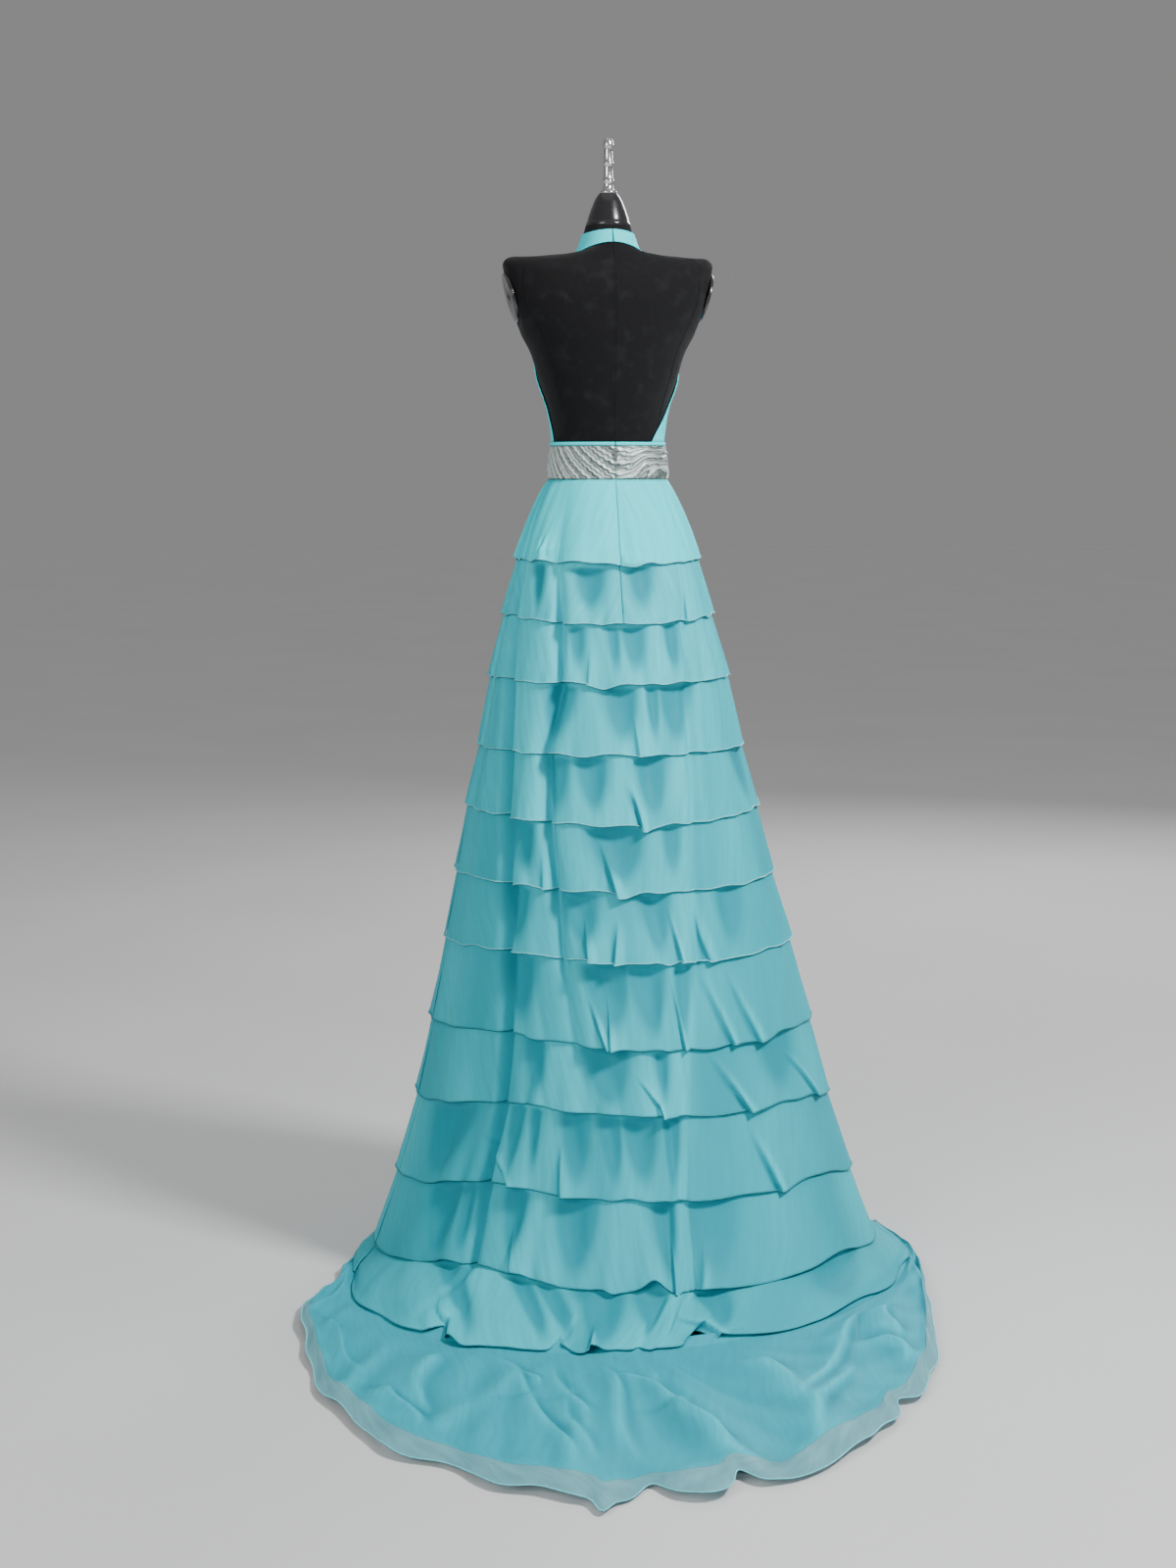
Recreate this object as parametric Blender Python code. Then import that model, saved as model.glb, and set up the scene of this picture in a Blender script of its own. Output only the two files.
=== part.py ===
"""Tiered halter evening gown with a floor train, worn by a limbless dress form on a round stand.

Blender 4.5, metres, +Z up. The gown's front faces -Y, its back and train +Y, and the wearer's left is +X.
The origin is on the floor, at the middle of the stand's base.

Every cloth wall is worked out from one of two lofted surfaces: the dress form, and the skirt. A place on
either is an angle round the body (0 at the centre back, 90 at the wearer's right, 180 at the centre front)
and a level, which counts the rows of the surface's table of sections.
"""

from collections import namedtuple

import bmesh
import bpy
import numpy as np
from mathutils import Matrix, Vector

# ---------------------------------------------------------------- driving sizes, in metres and degrees

CLOTH = 0.0012            # chiffon with its lining, as one wall
BAND_CLOTH = 0.0020       # pleated waistband on its stiffening
SEAM_GAP = 0.0003         # between pieces sewn edge to edge
LAP_GAP = 0.0008          # between a tier's hem and the tier beneath it
LAP_SHARE = 0.20          # how far a tier's top runs up under the tier above, as a share of its height
FORM_CLEAR = 0.0008       # between the dress form and cloth that rests on it
ZIP_HALF_ANGLE = 0.35     # half of the centre-back opening, in degrees of skirt angle

BASE_RADIUS = 0.180
BASE_HEIGHT = 0.014
POLE_RADIUS = 0.016
FORM_SIDES = 40

HIP_ROUND = 0.004         # how far the yoke is rounded out between its seam and its hem

WAIST_SEAM_Z = 1.393
WAIST_TOP_Z = 1.4575
BINDING_HEIGHT = 0.005
PLEAT_COUNT = 7           # pleats laid across the waistband's height
PLEAT_RAISE = 0.0022

Section = namedtuple("Section", "name z_side z_back z_front half_width back front shift_x shift_y")

# The dress form, from its underside to the top of its neck.
FORM = [
    Section("underside", 1.085, 1.085, 1.085, 0.1380, 0.1020, 0.0900, 0, 0),
    Section("hip", 1.235, 1.235, 1.235, 0.1490, 0.1160, 0.0970, 0, 0),
    Section("upper hip", 1.330, 1.330, 1.330, 0.1200, 0.0970, 0.0880, 0, 0),
    Section("waist seam", 1.393, 1.393, 1.393, 0.1014, 0.0800, 0.0796, 0, 0),
    Section("waist", 1.4575, 1.4575, 1.4575, 0.0964, 0.0782, 0.0786, 0, 0),
    Section("ribs", 1.510, 1.510, 1.510, 0.1035, 0.0840, 0.0900, 0, 0),
    Section("under bust", 1.570, 1.570, 1.570, 0.1230, 0.0920, 0.1120, 0, 0),
    Section("bust", 1.610, 1.610, 1.608, 0.1350, 0.0960, 0.1200, 0, 0),
    Section("underarm", 1.650, 1.650, 1.640, 0.1560, 0.0990, 0.1120, 0, 0),
    Section("arm plate", 1.705, 1.700, 1.685, 0.1800, 0.0980, 0.0970, 0, 0),
    Section("shoulder", 1.760, 1.740, 1.712, 0.1860, 0.0880, 0.0860, 0, 0),
    Section("shoulder top", 1.777, 1.765, 1.730, 0.1680, 0.0740, 0.0760, 0, 0),
    Section("neck base", 1.776, 1.7995, 1.748, 0.0660, 0.0580, 0.0600, 0, 0),
    Section("neck", 1.815, 1.8215, 1.787, 0.0440, 0.0450, 0.0440, 0, 0),
    Section("neck top", 1.832, 1.832, 1.832, 0.0390, 0.0390, 0.0390, 0, 0),
]
ARM_PLATE_Z = 1.708
ARM_PLATE_X = 0.1690
ARM_PLATE_LEAN = 0.28     # outward run of the arm cut for each metre up
ARM_PLATE_RADII = (0.044, 0.050)
ARM_PLATE_THICK = 0.006

# The skirt: the waist seam, then the hem of the yoke, of each tier and of the train.
SKIRT = [
    Section("waist seam", 1.3927, 1.3927, 1.3927, 0.1052, 0.0850, 0.0840, 0, 0),
    Section("yoke", 1.254, 1.245, 1.252, 0.160, 0.135, 0.124, 0, 0),
    Section("tier 1", 1.157, 1.145, 1.157, 0.183, 0.165, 0.148, 0, 0),
    Section("tier 2", 1.049, 1.043, 1.049, 0.209, 0.195, 0.174, -0.003, 0),
    Section("tier 3", 0.926, 0.926, 0.926, 0.231, 0.228, 0.200, -0.005, 0),
    Section("tier 4", 0.820, 0.809, 0.820, 0.256, 0.262, 0.225, -0.008, 0),
    Section("tier 5", 0.701, 0.699, 0.701, 0.280, 0.295, 0.250, -0.012, 0),
    Section("tier 6", 0.578, 0.583, 0.578, 0.308, 0.330, 0.276, -0.018, 0),
    Section("tier 7", 0.431, 0.442, 0.431, 0.340, 0.365, 0.304, -0.024, 0),
    Section("tier 8", 0.294, 0.337, 0.294, 0.370, 0.395, 0.330, -0.028, 0),
    Section("tier 9", 0.154, 0.200, 0.154, 0.409, 0.420, 0.352, -0.031, 0),
    Section("tier 10", 0.030, 0.059, 0.030, 0.450, 0.440, 0.396, -0.028, 0.030),
    Section("tier 11", CLOTH, CLOTH, CLOTH, 0.500, 0.480, 0.500, -0.034, 0.100),
]
LOW_SWAY = 0.090          # how far the lowest tier's back hem is drawn to the wearer's left by the train

# The train's hem on the floor: cloth angle, X and Y.
TRAIN_HEM = [
    (-114, 0.438, -0.088), (-90, 0.494, 0.120), (-72, 0.570, 0.342), (-54, 0.566, 0.615),
    (-36, 0.506, 0.888), (-18, 0.364, 1.106), (0, 0.165, 1.204), (18, -0.075, 1.163),
    (36, -0.270, 0.985), (54, -0.416, 0.712), (72, -0.488, 0.408), (90, -0.541, 0.117),
    (114, -0.526, -0.081),
]

# The folds that run down through the tiers. A path gives a fold's angle round the body at each level from 1;
# rise is how far the hems lift in one.
Fold = namedtuple("Fold", "name path begins full fades ends depth half_width rise")
FOLDS = [
    Fold("left side", (-77, -72, -65, -60, -55, -51, -50, -48, -47.5, -49, -48), 0.6, 2.2, 10.6, 11.8, 0.030, 0.020, 0),
    Fold("left back", (-41, -36, -33, -38, -35, -31, -28, -23, -19, -16), 0.6, 2.0, 5.5, 9.0, 0.022, 0.019, 0),
    Fold("right back", (45, 39, 33, 28, 24, 20, 16, 11, 8, 6), 0.8, 2.0, 6.0, 9.5, 0.010, 0.021, 0),
    Fold("flat left back", (-48,), 4.5, 10.0, 11.0, 12.0, 0.036, 0.190, 0.026),
    Fold("flat right back", (50,), 5.5, 10.5, 11.0, 12.0, 0.018, 0.150, 0.020),
    Fold("right front", (122, 119), 0.8, 3.0, 10.0, 11.6, 0.016, 0.042, 0),
    Fold("middle front", (168, 165), 1.0, 4.0, 10.0, 11.6, 0.013, 0.045, 0),
    Fold("left front", (226, 229), 0.8, 3.0, 10.0, 11.6, 0.017, 0.042, 0),
]
BACK_FOLDS = FOLDS[:3]
GRAIN_KNOTS = (-90, -54, -27, 0, 27, 90, 270)   # cloth angles: the seams, the back folds, the centre back

# Ruffle waves of each tier, from the yoke to the lowest: how many go round, their height, and their turn.
Ruffle = namedtuple("Ruffle", "name waves height turn")
RUFFLES = [
    Ruffle("yoke", 9, 0.0030, 40),
    Ruffle("tier_01", 12, 0.0060, 115),
    Ruffle("tier_02", 13, 0.0070, 250),
    Ruffle("tier_03", 14, 0.0075, 20),
    Ruffle("tier_04", 13, 0.0075, 305),
    Ruffle("tier_05", 14, 0.0070, 160),
    Ruffle("tier_06", 14, 0.0075, 75),
    Ruffle("tier_07", 15, 0.0080, 210),
    Ruffle("tier_08", 15, 0.0075, 340),
    Ruffle("tier_09", 16, 0.0080, 130),
    Ruffle("tier_10", 16, 0.0090, 270),
    Ruffle("tier_11", 17, 0.0060, 50),
]

# Soft ridges where the train lies on the floor: cloth angle and level at each end, height and half width.
Ridge = namedtuple("Ridge", "angle_in level_in angle_out level_out height half_width")
TRAIN_RIDGES = [
    Ridge(-84, 12.10, -70, 13.0, 0.012, 0.030),
    Ridge(-52, 12.00, -44, 13.0, 0.014, 0.030),
    Ridge(-24, 12.10, -30, 13.0, 0.010, 0.028),
    Ridge(-8, 12.20, -6, 13.0, 0.012, 0.026),
    Ridge(8, 12.10, 16, 13.0, 0.010, 0.030),
    Ridge(34, 12.10, 30, 13.0, 0.009, 0.030),
    Ridge(58, 12.00, 50, 13.0, 0.013, 0.032),
    Ridge(86, 12.10, 76, 13.0, 0.011, 0.030),
]
TRAIN_ENDS = 114          # cloth angle, either side, where the train runs out
TRAIN_CURL = 0.014        # how far the train's hem curls up between the places where it lies flat
TRAIN_CURLS = 13

ZIP_WIDTH = 0.013
ZIP_THICK = 0.0008
PULL_PIVOT_Z = 1.4430

AQUA = (0.205, 0.655, 0.735)
SILVER = (0.48, 0.56, 0.55)


# ---------------------------------------------------------------- helpers

def material(name, colour, roughness, metallic=0.0):
    """A plain finish for one kind of piece."""
    made = bpy.data.materials.new(name)
    made.use_nodes = True
    shader = made.node_tree.nodes["Principled BSDF"]
    shader.inputs["Base Color"].default_value = (*colour, 1)
    shader.inputs["Roughness"].default_value = roughness
    shader.inputs["Metallic"].default_value = metallic
    return made


def add_object(name, mesh_data, finish):
    """Puts a bmesh into the scene as a named object, its faces turned outwards."""
    mesh_data.normal_update()
    bmesh.ops.recalc_face_normals(mesh_data, faces=mesh_data.faces)
    mesh = bpy.data.meshes.new(name)
    mesh_data.to_mesh(mesh)
    mesh_data.free()
    mesh.materials.append(finish)
    mesh.shade_smooth()
    mesh.set_sharp_from_angle(angle=np.radians(40))
    made = bpy.data.objects.new(name, mesh)
    bpy.context.scene.collection.objects.link(made)
    return made


def smooth_through(level, values):
    """A curve through one value at each whole level that never swings past its neighbours."""
    values = np.asarray(values, float)
    steps = np.diff(values)
    slopes = np.zeros(len(values))
    before, after = steps[:-1], steps[1:]
    steady = before * after > 0
    slopes[1:-1][steady] = 2 * before[steady] * after[steady] / (before + after)[steady]
    slopes[0], slopes[-1] = steps[0], steps[-1]
    low = np.clip(np.floor(level).astype(int), 0, len(steps) - 1)
    part = level - low
    rise = part * part * (3 - 2 * part)
    return (
        values[low] * (1 - rise)
        + values[low + 1] * rise
        + slopes[low] * part * (1 - part) ** 2
        - slopes[low + 1] * part * part * (1 - part)
    )


def ease(value, begins, ends):
    """0 before begins, 1 after ends, and smooth between them."""
    part = np.clip((value - begins) / (ends - begins), 0, 1)
    return part * part * (3 - 2 * part)


def loft(table, angle, level):
    """Points of the surface through a table's sections, at angles in degrees and levels."""
    turn = np.radians(angle)
    size = {
        field: smooth_through(level, [getattr(row, field) for row in table])
        for field in Section._fields[1:]
    }
    towards_back = np.maximum(np.cos(turn), 0) ** 2
    towards_front = np.maximum(-np.cos(turn), 0) ** 2
    depth = np.where(np.cos(turn) > 0, size["back"], size["front"])
    x = size["shift_x"] - size["half_width"] * np.sin(turn)
    y = size["shift_y"] + depth * np.cos(turn)
    z = (
        size["z_side"]
        + (size["z_back"] - size["z_side"]) * towards_back
        + (size["z_front"] - size["z_side"]) * towards_front
    )
    return np.stack([x, y, z], axis=-1)


def outward(surface, angle, level, step_level=0.01):
    """The surface's unit normals, away from the body; step_level is negative where levels count upwards."""
    step_angle = 0.2
    across = surface(angle + step_angle, level) - surface(angle - step_angle, level)
    down = surface(angle, level + step_level) - surface(angle, level - step_level)
    normal = np.cross(down, across)
    return normal / np.linalg.norm(normal, axis=-1, keepdims=True)


def sheet_faces(corners, flipped=False):
    """Triangles over a grid of vertices, all cut along the same diagonal."""
    for row, below in zip(corners[:-1], corners[1:]):
        for column in range(len(row) - 1):
            a, b = row[column], row[column + 1]
            c, d = below[column], below[column + 1]
            for face in ((a, c, d), (a, d, b)):
                yield face[::-1] if flipped else face


def add_wall(name, outer, inner, finish):
    """One closed wall of cloth between two grids of points, each of rows by columns."""
    made = bmesh.new()
    grids = [
        [[made.verts.new(point) for point in row] for row in grid]
        for grid in (outer, inner)
    ]
    for face in (*sheet_faces(grids[0]), *sheet_faces(grids[1], flipped=True)):
        made.faces.new(face)
    rims = []
    for grid in grids:
        down = [row[-1] for row in grid[1:-1]]
        up = [row[0] for row in grid[-2:0:-1]]
        rims.append([*grid[0], *down, *reversed(grid[-1]), *up])
    for at in range(len(rims[0])):
        near, far = rims[0][at - 1], rims[0][at]
        made.faces.new((near, far, rims[1][at], rims[1][at - 1]))
    return add_object(name, made, finish)


def turned(name, profile, finish, sides=32, at=(0, 0, 0)):
    """A solid turned about the upright line through at, from (radius, height) points, bottom to top."""
    made = bmesh.new()
    points = [made.verts.new((radius, 0, height)) for radius, height in profile]
    edges = [made.edges.new(pair) for pair in zip(points[:-1], points[1:])]
    bmesh.ops.spin(
        made, geom=points + edges, cent=(0, 0, 0), axis=(0, 0, 1),
        angle=2 * np.pi, steps=sides, use_merge=True,
    )
    bmesh.ops.remove_doubles(made, verts=made.verts, dist=1e-6)
    bmesh.ops.translate(made, vec=at, verts=made.verts)
    return add_object(name, made, finish)


def box(name, low, high, finish):
    """A plain box between two corners."""
    made = bmesh.new()
    bmesh.ops.create_cube(made, size=1)
    low, high = Vector(low), Vector(high)
    bmesh.ops.scale(made, vec=high - low, verts=made.verts)
    bmesh.ops.translate(made, vec=(low + high) / 2, verts=made.verts)
    return add_object(name, made, finish)


def combine(target, tool, operation):
    """Joins a helper to an object, or cuts it away, with a Boolean."""
    tool.hide_render = True
    tool.display_type = "WIRE"
    change = target.modifiers.new(operation.title() + " " + tool.name, "BOOLEAN")
    change.operation = operation
    change.object = tool
    change.solver = "EXACT"


# ---------------------------------------------------------------- the dress form and its stand

def form_surface(angle, level):
    """The dress form's skin, with a flat cut at each shoulder where an arm would start."""
    points = loft(FORM, angle, level)
    reach = ARM_PLATE_X + (points[..., 2] - ARM_PLATE_Z) * ARM_PLATE_LEAN
    reach = np.where(points[..., 2] > FORM[7].z_side, reach, 1.0)
    points[..., 0] = np.clip(points[..., 0], -reach, reach)
    return points


def build_form(finish):
    """The limbless torso: one skin over the rings of points, with flat ends."""
    made = bmesh.new()
    levels = np.array([0, 1, 2, *np.arange(3, 14.1, 0.5)])
    angle, level = np.meshgrid(np.linspace(0, 360, FORM_SIDES, endpoint=False), levels)
    corners = [[made.verts.new(point) for point in ring] for ring in form_surface(angle, level)]
    for face in sheet_faces([[*ring, ring[0]] for ring in corners], flipped=True):
        made.faces.new(face)
    made.faces.new(corners[0])
    made.faces.new(corners[-1])
    return add_object("form_torso", made, finish)


def build_arm_plates(finish):
    """An oval plate on the flat cut at each shoulder."""
    lean = np.arctan(ARM_PLATE_LEAN)
    for side, name in ((1, "arm_plate_left"), (-1, "arm_plate_right")):
        made = bmesh.new()
        bmesh.ops.create_cone(
            made, cap_ends=True, segments=28, radius1=1, radius2=0.94, depth=ARM_PLATE_THICK,
        )
        bmesh.ops.scale(made, vec=(*ARM_PLATE_RADII[::-1], 1), verts=made.verts)
        # The plate's own Z is turned to face sideways, then leaned with the cut.
        turn = Matrix.Rotation(side * (np.pi / 2 + lean), 4, "Y")
        clear = SEAM_GAP + ARM_PLATE_THICK / 2
        place = Vector((side * ARM_PLATE_X, 0, ARM_PLATE_Z))
        place += Vector((side * np.cos(lean), 0, -np.sin(lean))) * clear
        made.transform(Matrix.Translation(place) @ turn)
        add_object(name, made, finish)


def build_stand(paint, metal):
    """The base on the floor, the pole up to the torso, and the cap and finial on the neck."""
    turned("stand_base", [
        (0, 0), (BASE_RADIUS, 0), (BASE_RADIUS, 0.006), (BASE_RADIUS - 0.006, 0.010),
        (0.030, BASE_HEIGHT), (0, BASE_HEIGHT),
    ], paint, sides=32)
    turned("stand_pole", [
        (0, BASE_HEIGHT + SEAM_GAP), (0.026, BASE_HEIGHT + SEAM_GAP), (0.026, 0.050),
        (POLE_RADIUS, 0.060), (POLE_RADIUS, FORM[0].z_side - SEAM_GAP),
        (0, FORM[0].z_side - SEAM_GAP),
    ], metal, sides=20)
    neck_top = FORM[-1].z_side + SEAM_GAP
    cap_top = 1.8865
    turned("neck_cap", [
        (0, neck_top), (FORM[-1].half_width, neck_top), (0.0375, neck_top + 0.006),
        (0.0310, 1.858), (0.0235, 1.876), (0.0185, 1.884), (0.0165, cap_top), (0, cap_top),
    ], paint, sides=24)
    foot = cap_top + SEAM_GAP
    turned("neck_finial", [
        (0, foot), (0.0150, foot), (0.0155, foot + 0.003), (0.0110, foot + 0.006),
        (0.0085, foot + 0.016), (0.0105, foot + 0.022), (0.0085, foot + 0.028),
        (0.0078, foot + 0.046), (0.0098, foot + 0.052), (0.0078, foot + 0.058),
        (0.0072, foot + 0.076), (0.0095, foot + 0.083), (0.0080, foot + 0.091),
        (0.0040, foot + 0.0955), (0, foot + 0.0965),
    ], metal, sides=14)


# ---------------------------------------------------------------- the bodice, neckband and waistband

def on_form(angle, level, lift):
    """Points that stand a given distance off the dress form."""
    return form_surface(angle, level) + lift * outward(form_surface, angle, level, -0.01)


def build_bodice(finish):
    """The halter front, from the waistband's binding up to the neckband, bare at the back."""
    levels = np.array([4.01, *np.arange(4.5, 11.6, 0.5), 11.96])
    # Where each side edge lies, as an angle from the centre front, at each of those levels.
    wide_at = [4.0, 5.0, 6.0, 7.0, 8.0, 9.0, 10.0, 11.0, 12.0]
    right = np.interp(levels, wide_at, [136, 112, 88, 65, 46, 35, 29, 31, 76])
    left = np.interp(levels, wide_at, [99, 90, 78, 62, 46, 35, 29, 31, 76])
    across = np.linspace(-1, 1, 15)
    angle = 180 + np.where(across < 0, np.outer(right, across), np.outer(left, across))
    level = np.repeat(levels[:, None], len(across), axis=1)
    # Rows run downwards, as on every other wall.
    angle, level = angle[::-1], level[::-1]
    clear = 2.6 * FORM_CLEAR
    add_wall(
        "bodice_front",
        on_form(angle, level, clear + CLOTH),
        on_form(angle, level, clear),
        finish,
    )


def build_neckband(finish):
    """The band round the neck: two halves that meet in a seam at the nape and at the centre front."""
    levels = np.array([13.0, 12.5, 12.02])
    halves = {"neckband_right": (0.9, 179.7), "neckband_left": (180.3, 359.1)}
    for name, (begins, ends) in halves.items():
        between = np.arange(round(begins / 180) * 180 + 9, ends - 1, 9)
        angle, level = np.meshgrid([begins, *between, ends], levels)
        add_wall(
            name,
            on_form(angle, level, FORM_CLEAR + BAND_CLOTH),
            on_form(angle, level, FORM_CLEAR),
            finish,
        )


def band_surface(angle, height):
    """The waistband's outer face, before its pleats, at a height from 0 at its seam to 1 at its top."""
    shown = 0.1052 + (0.1000 - 0.1052) * height + 0.0016 * np.sin(np.pi * height)
    depth_back = 0.0848 + (0.0820 - 0.0848) * height
    depth_front = 0.0838 + (0.0822 - 0.0838) * height
    turn = np.radians(angle)
    depth = np.where(np.cos(turn) > 0, depth_back, depth_front)
    z = WAIST_SEAM_Z + (WAIST_TOP_Z - WAIST_SEAM_Z) * height
    return np.stack([-shown * np.sin(turn), depth * np.cos(turn), z + 0 * turn], axis=-1)


def flat_out(points, distance):
    """Points moved level and outwards, away from the body's upright axis."""
    way = points * (1, 1, 0)
    return points + np.expand_dims(distance, -1) * way / np.linalg.norm(way, axis=-1, keepdims=True)


def pleats(angle, height):
    """How high the waistband's pleats stand: slanting at the left back, level and swagged at the right."""
    slant = np.where(angle < 0, -angle / 34, 0.0)
    swag = 0.9 * np.exp(-(((angle - 22) / 11) ** 2))
    phase = PLEAT_COUNT * height + slant * 1.6 - swag + 0.35 * np.sin(np.radians(angle * 5))
    crest = 0.5 - 0.5 * np.cos(2 * np.pi * phase)
    edge = ease(height, 0.0, 0.06) * (1 - ease(height, 0.94, 1.0))
    return PLEAT_RAISE * crest * edge


def build_waistband(silver, aqua):
    """The pleated band in three pieces, open at the zip, and the binding along its top."""
    top_share = 1 - (BINDING_HEIGHT + SEAM_GAP) / (WAIST_TOP_Z - WAIST_SEAM_Z)
    heights = np.linspace(top_share, 0, 2 * PLEAT_COUNT + 1)
    pieces = {
        "waistband_back_left": (-90, -0.5, 11),
        "waistband_back_right": (0.5, 90, 11),
        "waistband_front": (90.2, 269.8, 13),
    }
    for name, (begins, ends, columns) in pieces.items():
        angle, height = np.meshgrid(np.linspace(begins, ends, columns), heights)
        face = band_surface(angle, height)
        inner = flat_out(face, -BAND_CLOTH)
        add_wall(name, flat_out(face, pleats(angle, height)), inner, silver)
    rows = np.array([1, top_share + SEAM_GAP / (WAIST_TOP_Z - WAIST_SEAM_Z)])
    angle, height = np.meshgrid(np.linspace(0.5, 359.5, 37), rows)
    face = band_surface(angle, height)
    add_wall("waist_binding", flat_out(face, 0.0012), flat_out(face, -BAND_CLOTH), aqua)


# ---------------------------------------------------------------- the skirt

def fold_angle(fold, level):
    """Where a fold runs at a level, round the body."""
    return np.interp(level, np.arange(len(fold.path)) + 1, fold.path)


def grain(angle, level):
    """The body angle of a thread of cloth: threads keep to the deep folds of the back as those drift."""
    places = [-90.0, *(fold_angle(fold, level) for fold in BACK_FOLDS[:2]), 0.0]
    places += [fold_angle(BACK_FOLDS[2], level), 90.0, 270.0]
    angle = (angle - GRAIN_KNOTS[0]) % 360 + GRAIN_KNOTS[0]
    turned_to = places[0]
    for at in range(len(places) - 1):
        start, end = GRAIN_KNOTS[at], GRAIN_KNOTS[at + 1]
        turned_to = turned_to + (places[at + 1] - places[at]) * np.clip((angle - start) / (end - start), 0, 1)
    return turned_to


def fold_share(fold, body_angle, level, spread=1.0):
    """1 in the bottom of a deep fold, falling to 0 beside it."""
    apart = (body_angle - fold_angle(fold, level) + 180) % 360 - 180
    radius = np.interp(level, range(len(SKIRT)), [row.half_width for row in SKIRT])
    return np.exp(-((np.radians(apart) * radius / (fold.half_width * spread)) ** 2))


def skirt_ring(angle, level):
    """One whole level of the skirt: lofted, drawn towards the train and dented by the folds."""
    body_angle = grain(angle, level)
    points = loft(SKIRT, body_angle, np.minimum(level, len(SKIRT) - 1))
    turn = np.radians(body_angle)
    points[..., 0] += LOW_SWAY * (level == 12) * np.maximum(np.cos(turn), 0)
    for fold in FOLDS:
        strength = ease(level, fold.begins, fold.full) * (1 - ease(level, fold.fades, fold.ends))
        share = strength * fold_share(fold, body_angle, level)
        points[..., 0] += fold.depth * share * np.sin(turn)
        points[..., 1] -= fold.depth * share * np.cos(turn)
        points[..., 2] += fold.rise * share
    angles, *sides = zip(*TRAIN_HEM)
    place = np.interp((angle + 180) % 360 - 180, angles, range(len(angles)))
    hem = [smooth_through(place, values) for values in sides]
    hem = np.stack([*hem, np.full_like(place, CLOTH)], axis=-1)
    return np.where((level == 13)[..., None], hem, points)


def skirt_surface(angle, level):
    """The skirt under its tiers. Its threads run straight from each hem to the next, so tiers nest."""
    low = np.clip(np.floor(level), 0, len(SKIRT) - 1)
    part = (level - low)[..., None]
    return skirt_ring(angle, low) * (1 - part) + skirt_ring(angle, low + 1) * part


def on_skirt(angle, level, lift):
    """Points that stand a distance off the skirt, and never under the floor."""
    points = skirt_surface(angle, level) + lift[..., None] * outward(skirt_surface, angle, level)
    points[..., 2] = np.maximum(points[..., 2], 0)
    return points


def ruffle_lift(ruffle, angle, drop, level):
    """How far a tier stands off the skirt: a steady lap over the next tier, and its waves."""
    lap = (CLOTH + LAP_GAP) * (1 + LAP_SHARE) * drop
    turn = np.radians(angle)
    phase = ruffle.waves * turn + np.radians(ruffle.turn) + 0.9 * np.sin(3 * turn + ruffle.waves)
    crest = (0.5 - 0.5 * np.cos(phase)) ** 1.2
    swell = 0.75 + 0.25 * np.sin(2 * turn + np.radians(ruffle.turn))
    body_angle = grain(angle, level)
    for fold in BACK_FOLDS:
        crest = crest * (1 - fold_share(fold, body_angle, level, spread=1.5))
    covered = LAP_SHARE / (1 + LAP_SHARE)
    lift = lap + ruffle.height * swell * crest * np.clip((drop - covered) / (1 - covered), 0, 1)
    return lift + (4 * HIP_ROUND * drop * (1 - drop) if ruffle.name == "yoke" else 0)


def cloth_angles(begins, ends):
    """Columns for a panel: close together at the deep folds of the back, even elsewhere."""
    even = np.arange(-90, 90.1, 6.0)
    close = [knot + step for knot in (-54, -27, 27) for step in (-6.5, -3, 0, 3, 6.5)]
    clear = [angle for angle in even if all(abs(angle - knot) > 10 for knot in (-54, -27, 27))]
    back = sorted([*clear, *close])
    front = np.arange(102, 260, 12.0)
    inside = [angle for angle in (*back, *front) if begins + 1 < angle < ends - 1]
    return np.array([begins, *inside, ends])


def build_tier(number, finish):
    """One tier of the skirt: its panels run from under the tier above down to its own hem."""
    ruffle = RUFFLES[number]
    top = number - (LAP_SHARE if number else 0)
    levels = np.array([top, number, number + 1])
    if number == 0:
        levels = np.array([0, 0.35, 0.7, 1])
    elif number in (1, 2, 11):
        # Where the surface turns quickly, the covered strip gets its own row, so both walls bend alike.
        levels = np.array([top, number, number + 1 - LAP_SHARE, number + 1])
    side = 0.05
    if number < 2:
        panels = {
            "_back_left": (-90 + side, -ZIP_HALF_ANGLE),
            "_back_right": (ZIP_HALF_ANGLE, 90 - side),
            "_front": (90 + side, 270 - side),
        }
    else:
        panels = {"_back": (-90 + side, 90 - side), "_front": (90 + side, 270 - side)}
    for suffix, (begins, ends) in panels.items():
        angle, level = np.meshgrid(cloth_angles(begins, ends), levels)
        drop = (level - top) / (number + 1 - top)
        lift = ruffle_lift(ruffle, angle, drop, level)
        outer = on_skirt(angle, level, lift)
        inner = on_skirt(angle, level, lift - CLOTH)
        outer[..., 2] = np.maximum(outer[..., 2], inner[..., 2] + 0.3 * CLOTH)
        add_wall(ruffle.name + suffix, outer, inner, finish)


def train_lift(angle, level):
    """How far the train's cloth stands off the floor: ridges that run outwards, and a curled hem."""
    lift = np.zeros_like(angle, dtype=float)
    for ridge in TRAIN_RIDGES:
        along = np.clip((level - ridge.level_in) / (ridge.level_out - ridge.level_in), 0, 1)
        middle = ridge.angle_in + (ridge.angle_out - ridge.angle_in) * along
        radius = 0.50 + 0.30 * along
        apart = np.radians(angle - middle) * radius / ridge.half_width
        lift += ridge.height * np.exp(-(apart**2)) * ease(level, ridge.level_in, ridge.level_in + 0.5)
    curl = 0.5 - 0.5 * np.cos(TRAIN_CURLS * np.radians(angle) + 1.2 * np.sin(np.radians(3 * angle)))
    return lift + TRAIN_CURL * curl * ease(level, 12.72, 13)


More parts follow.
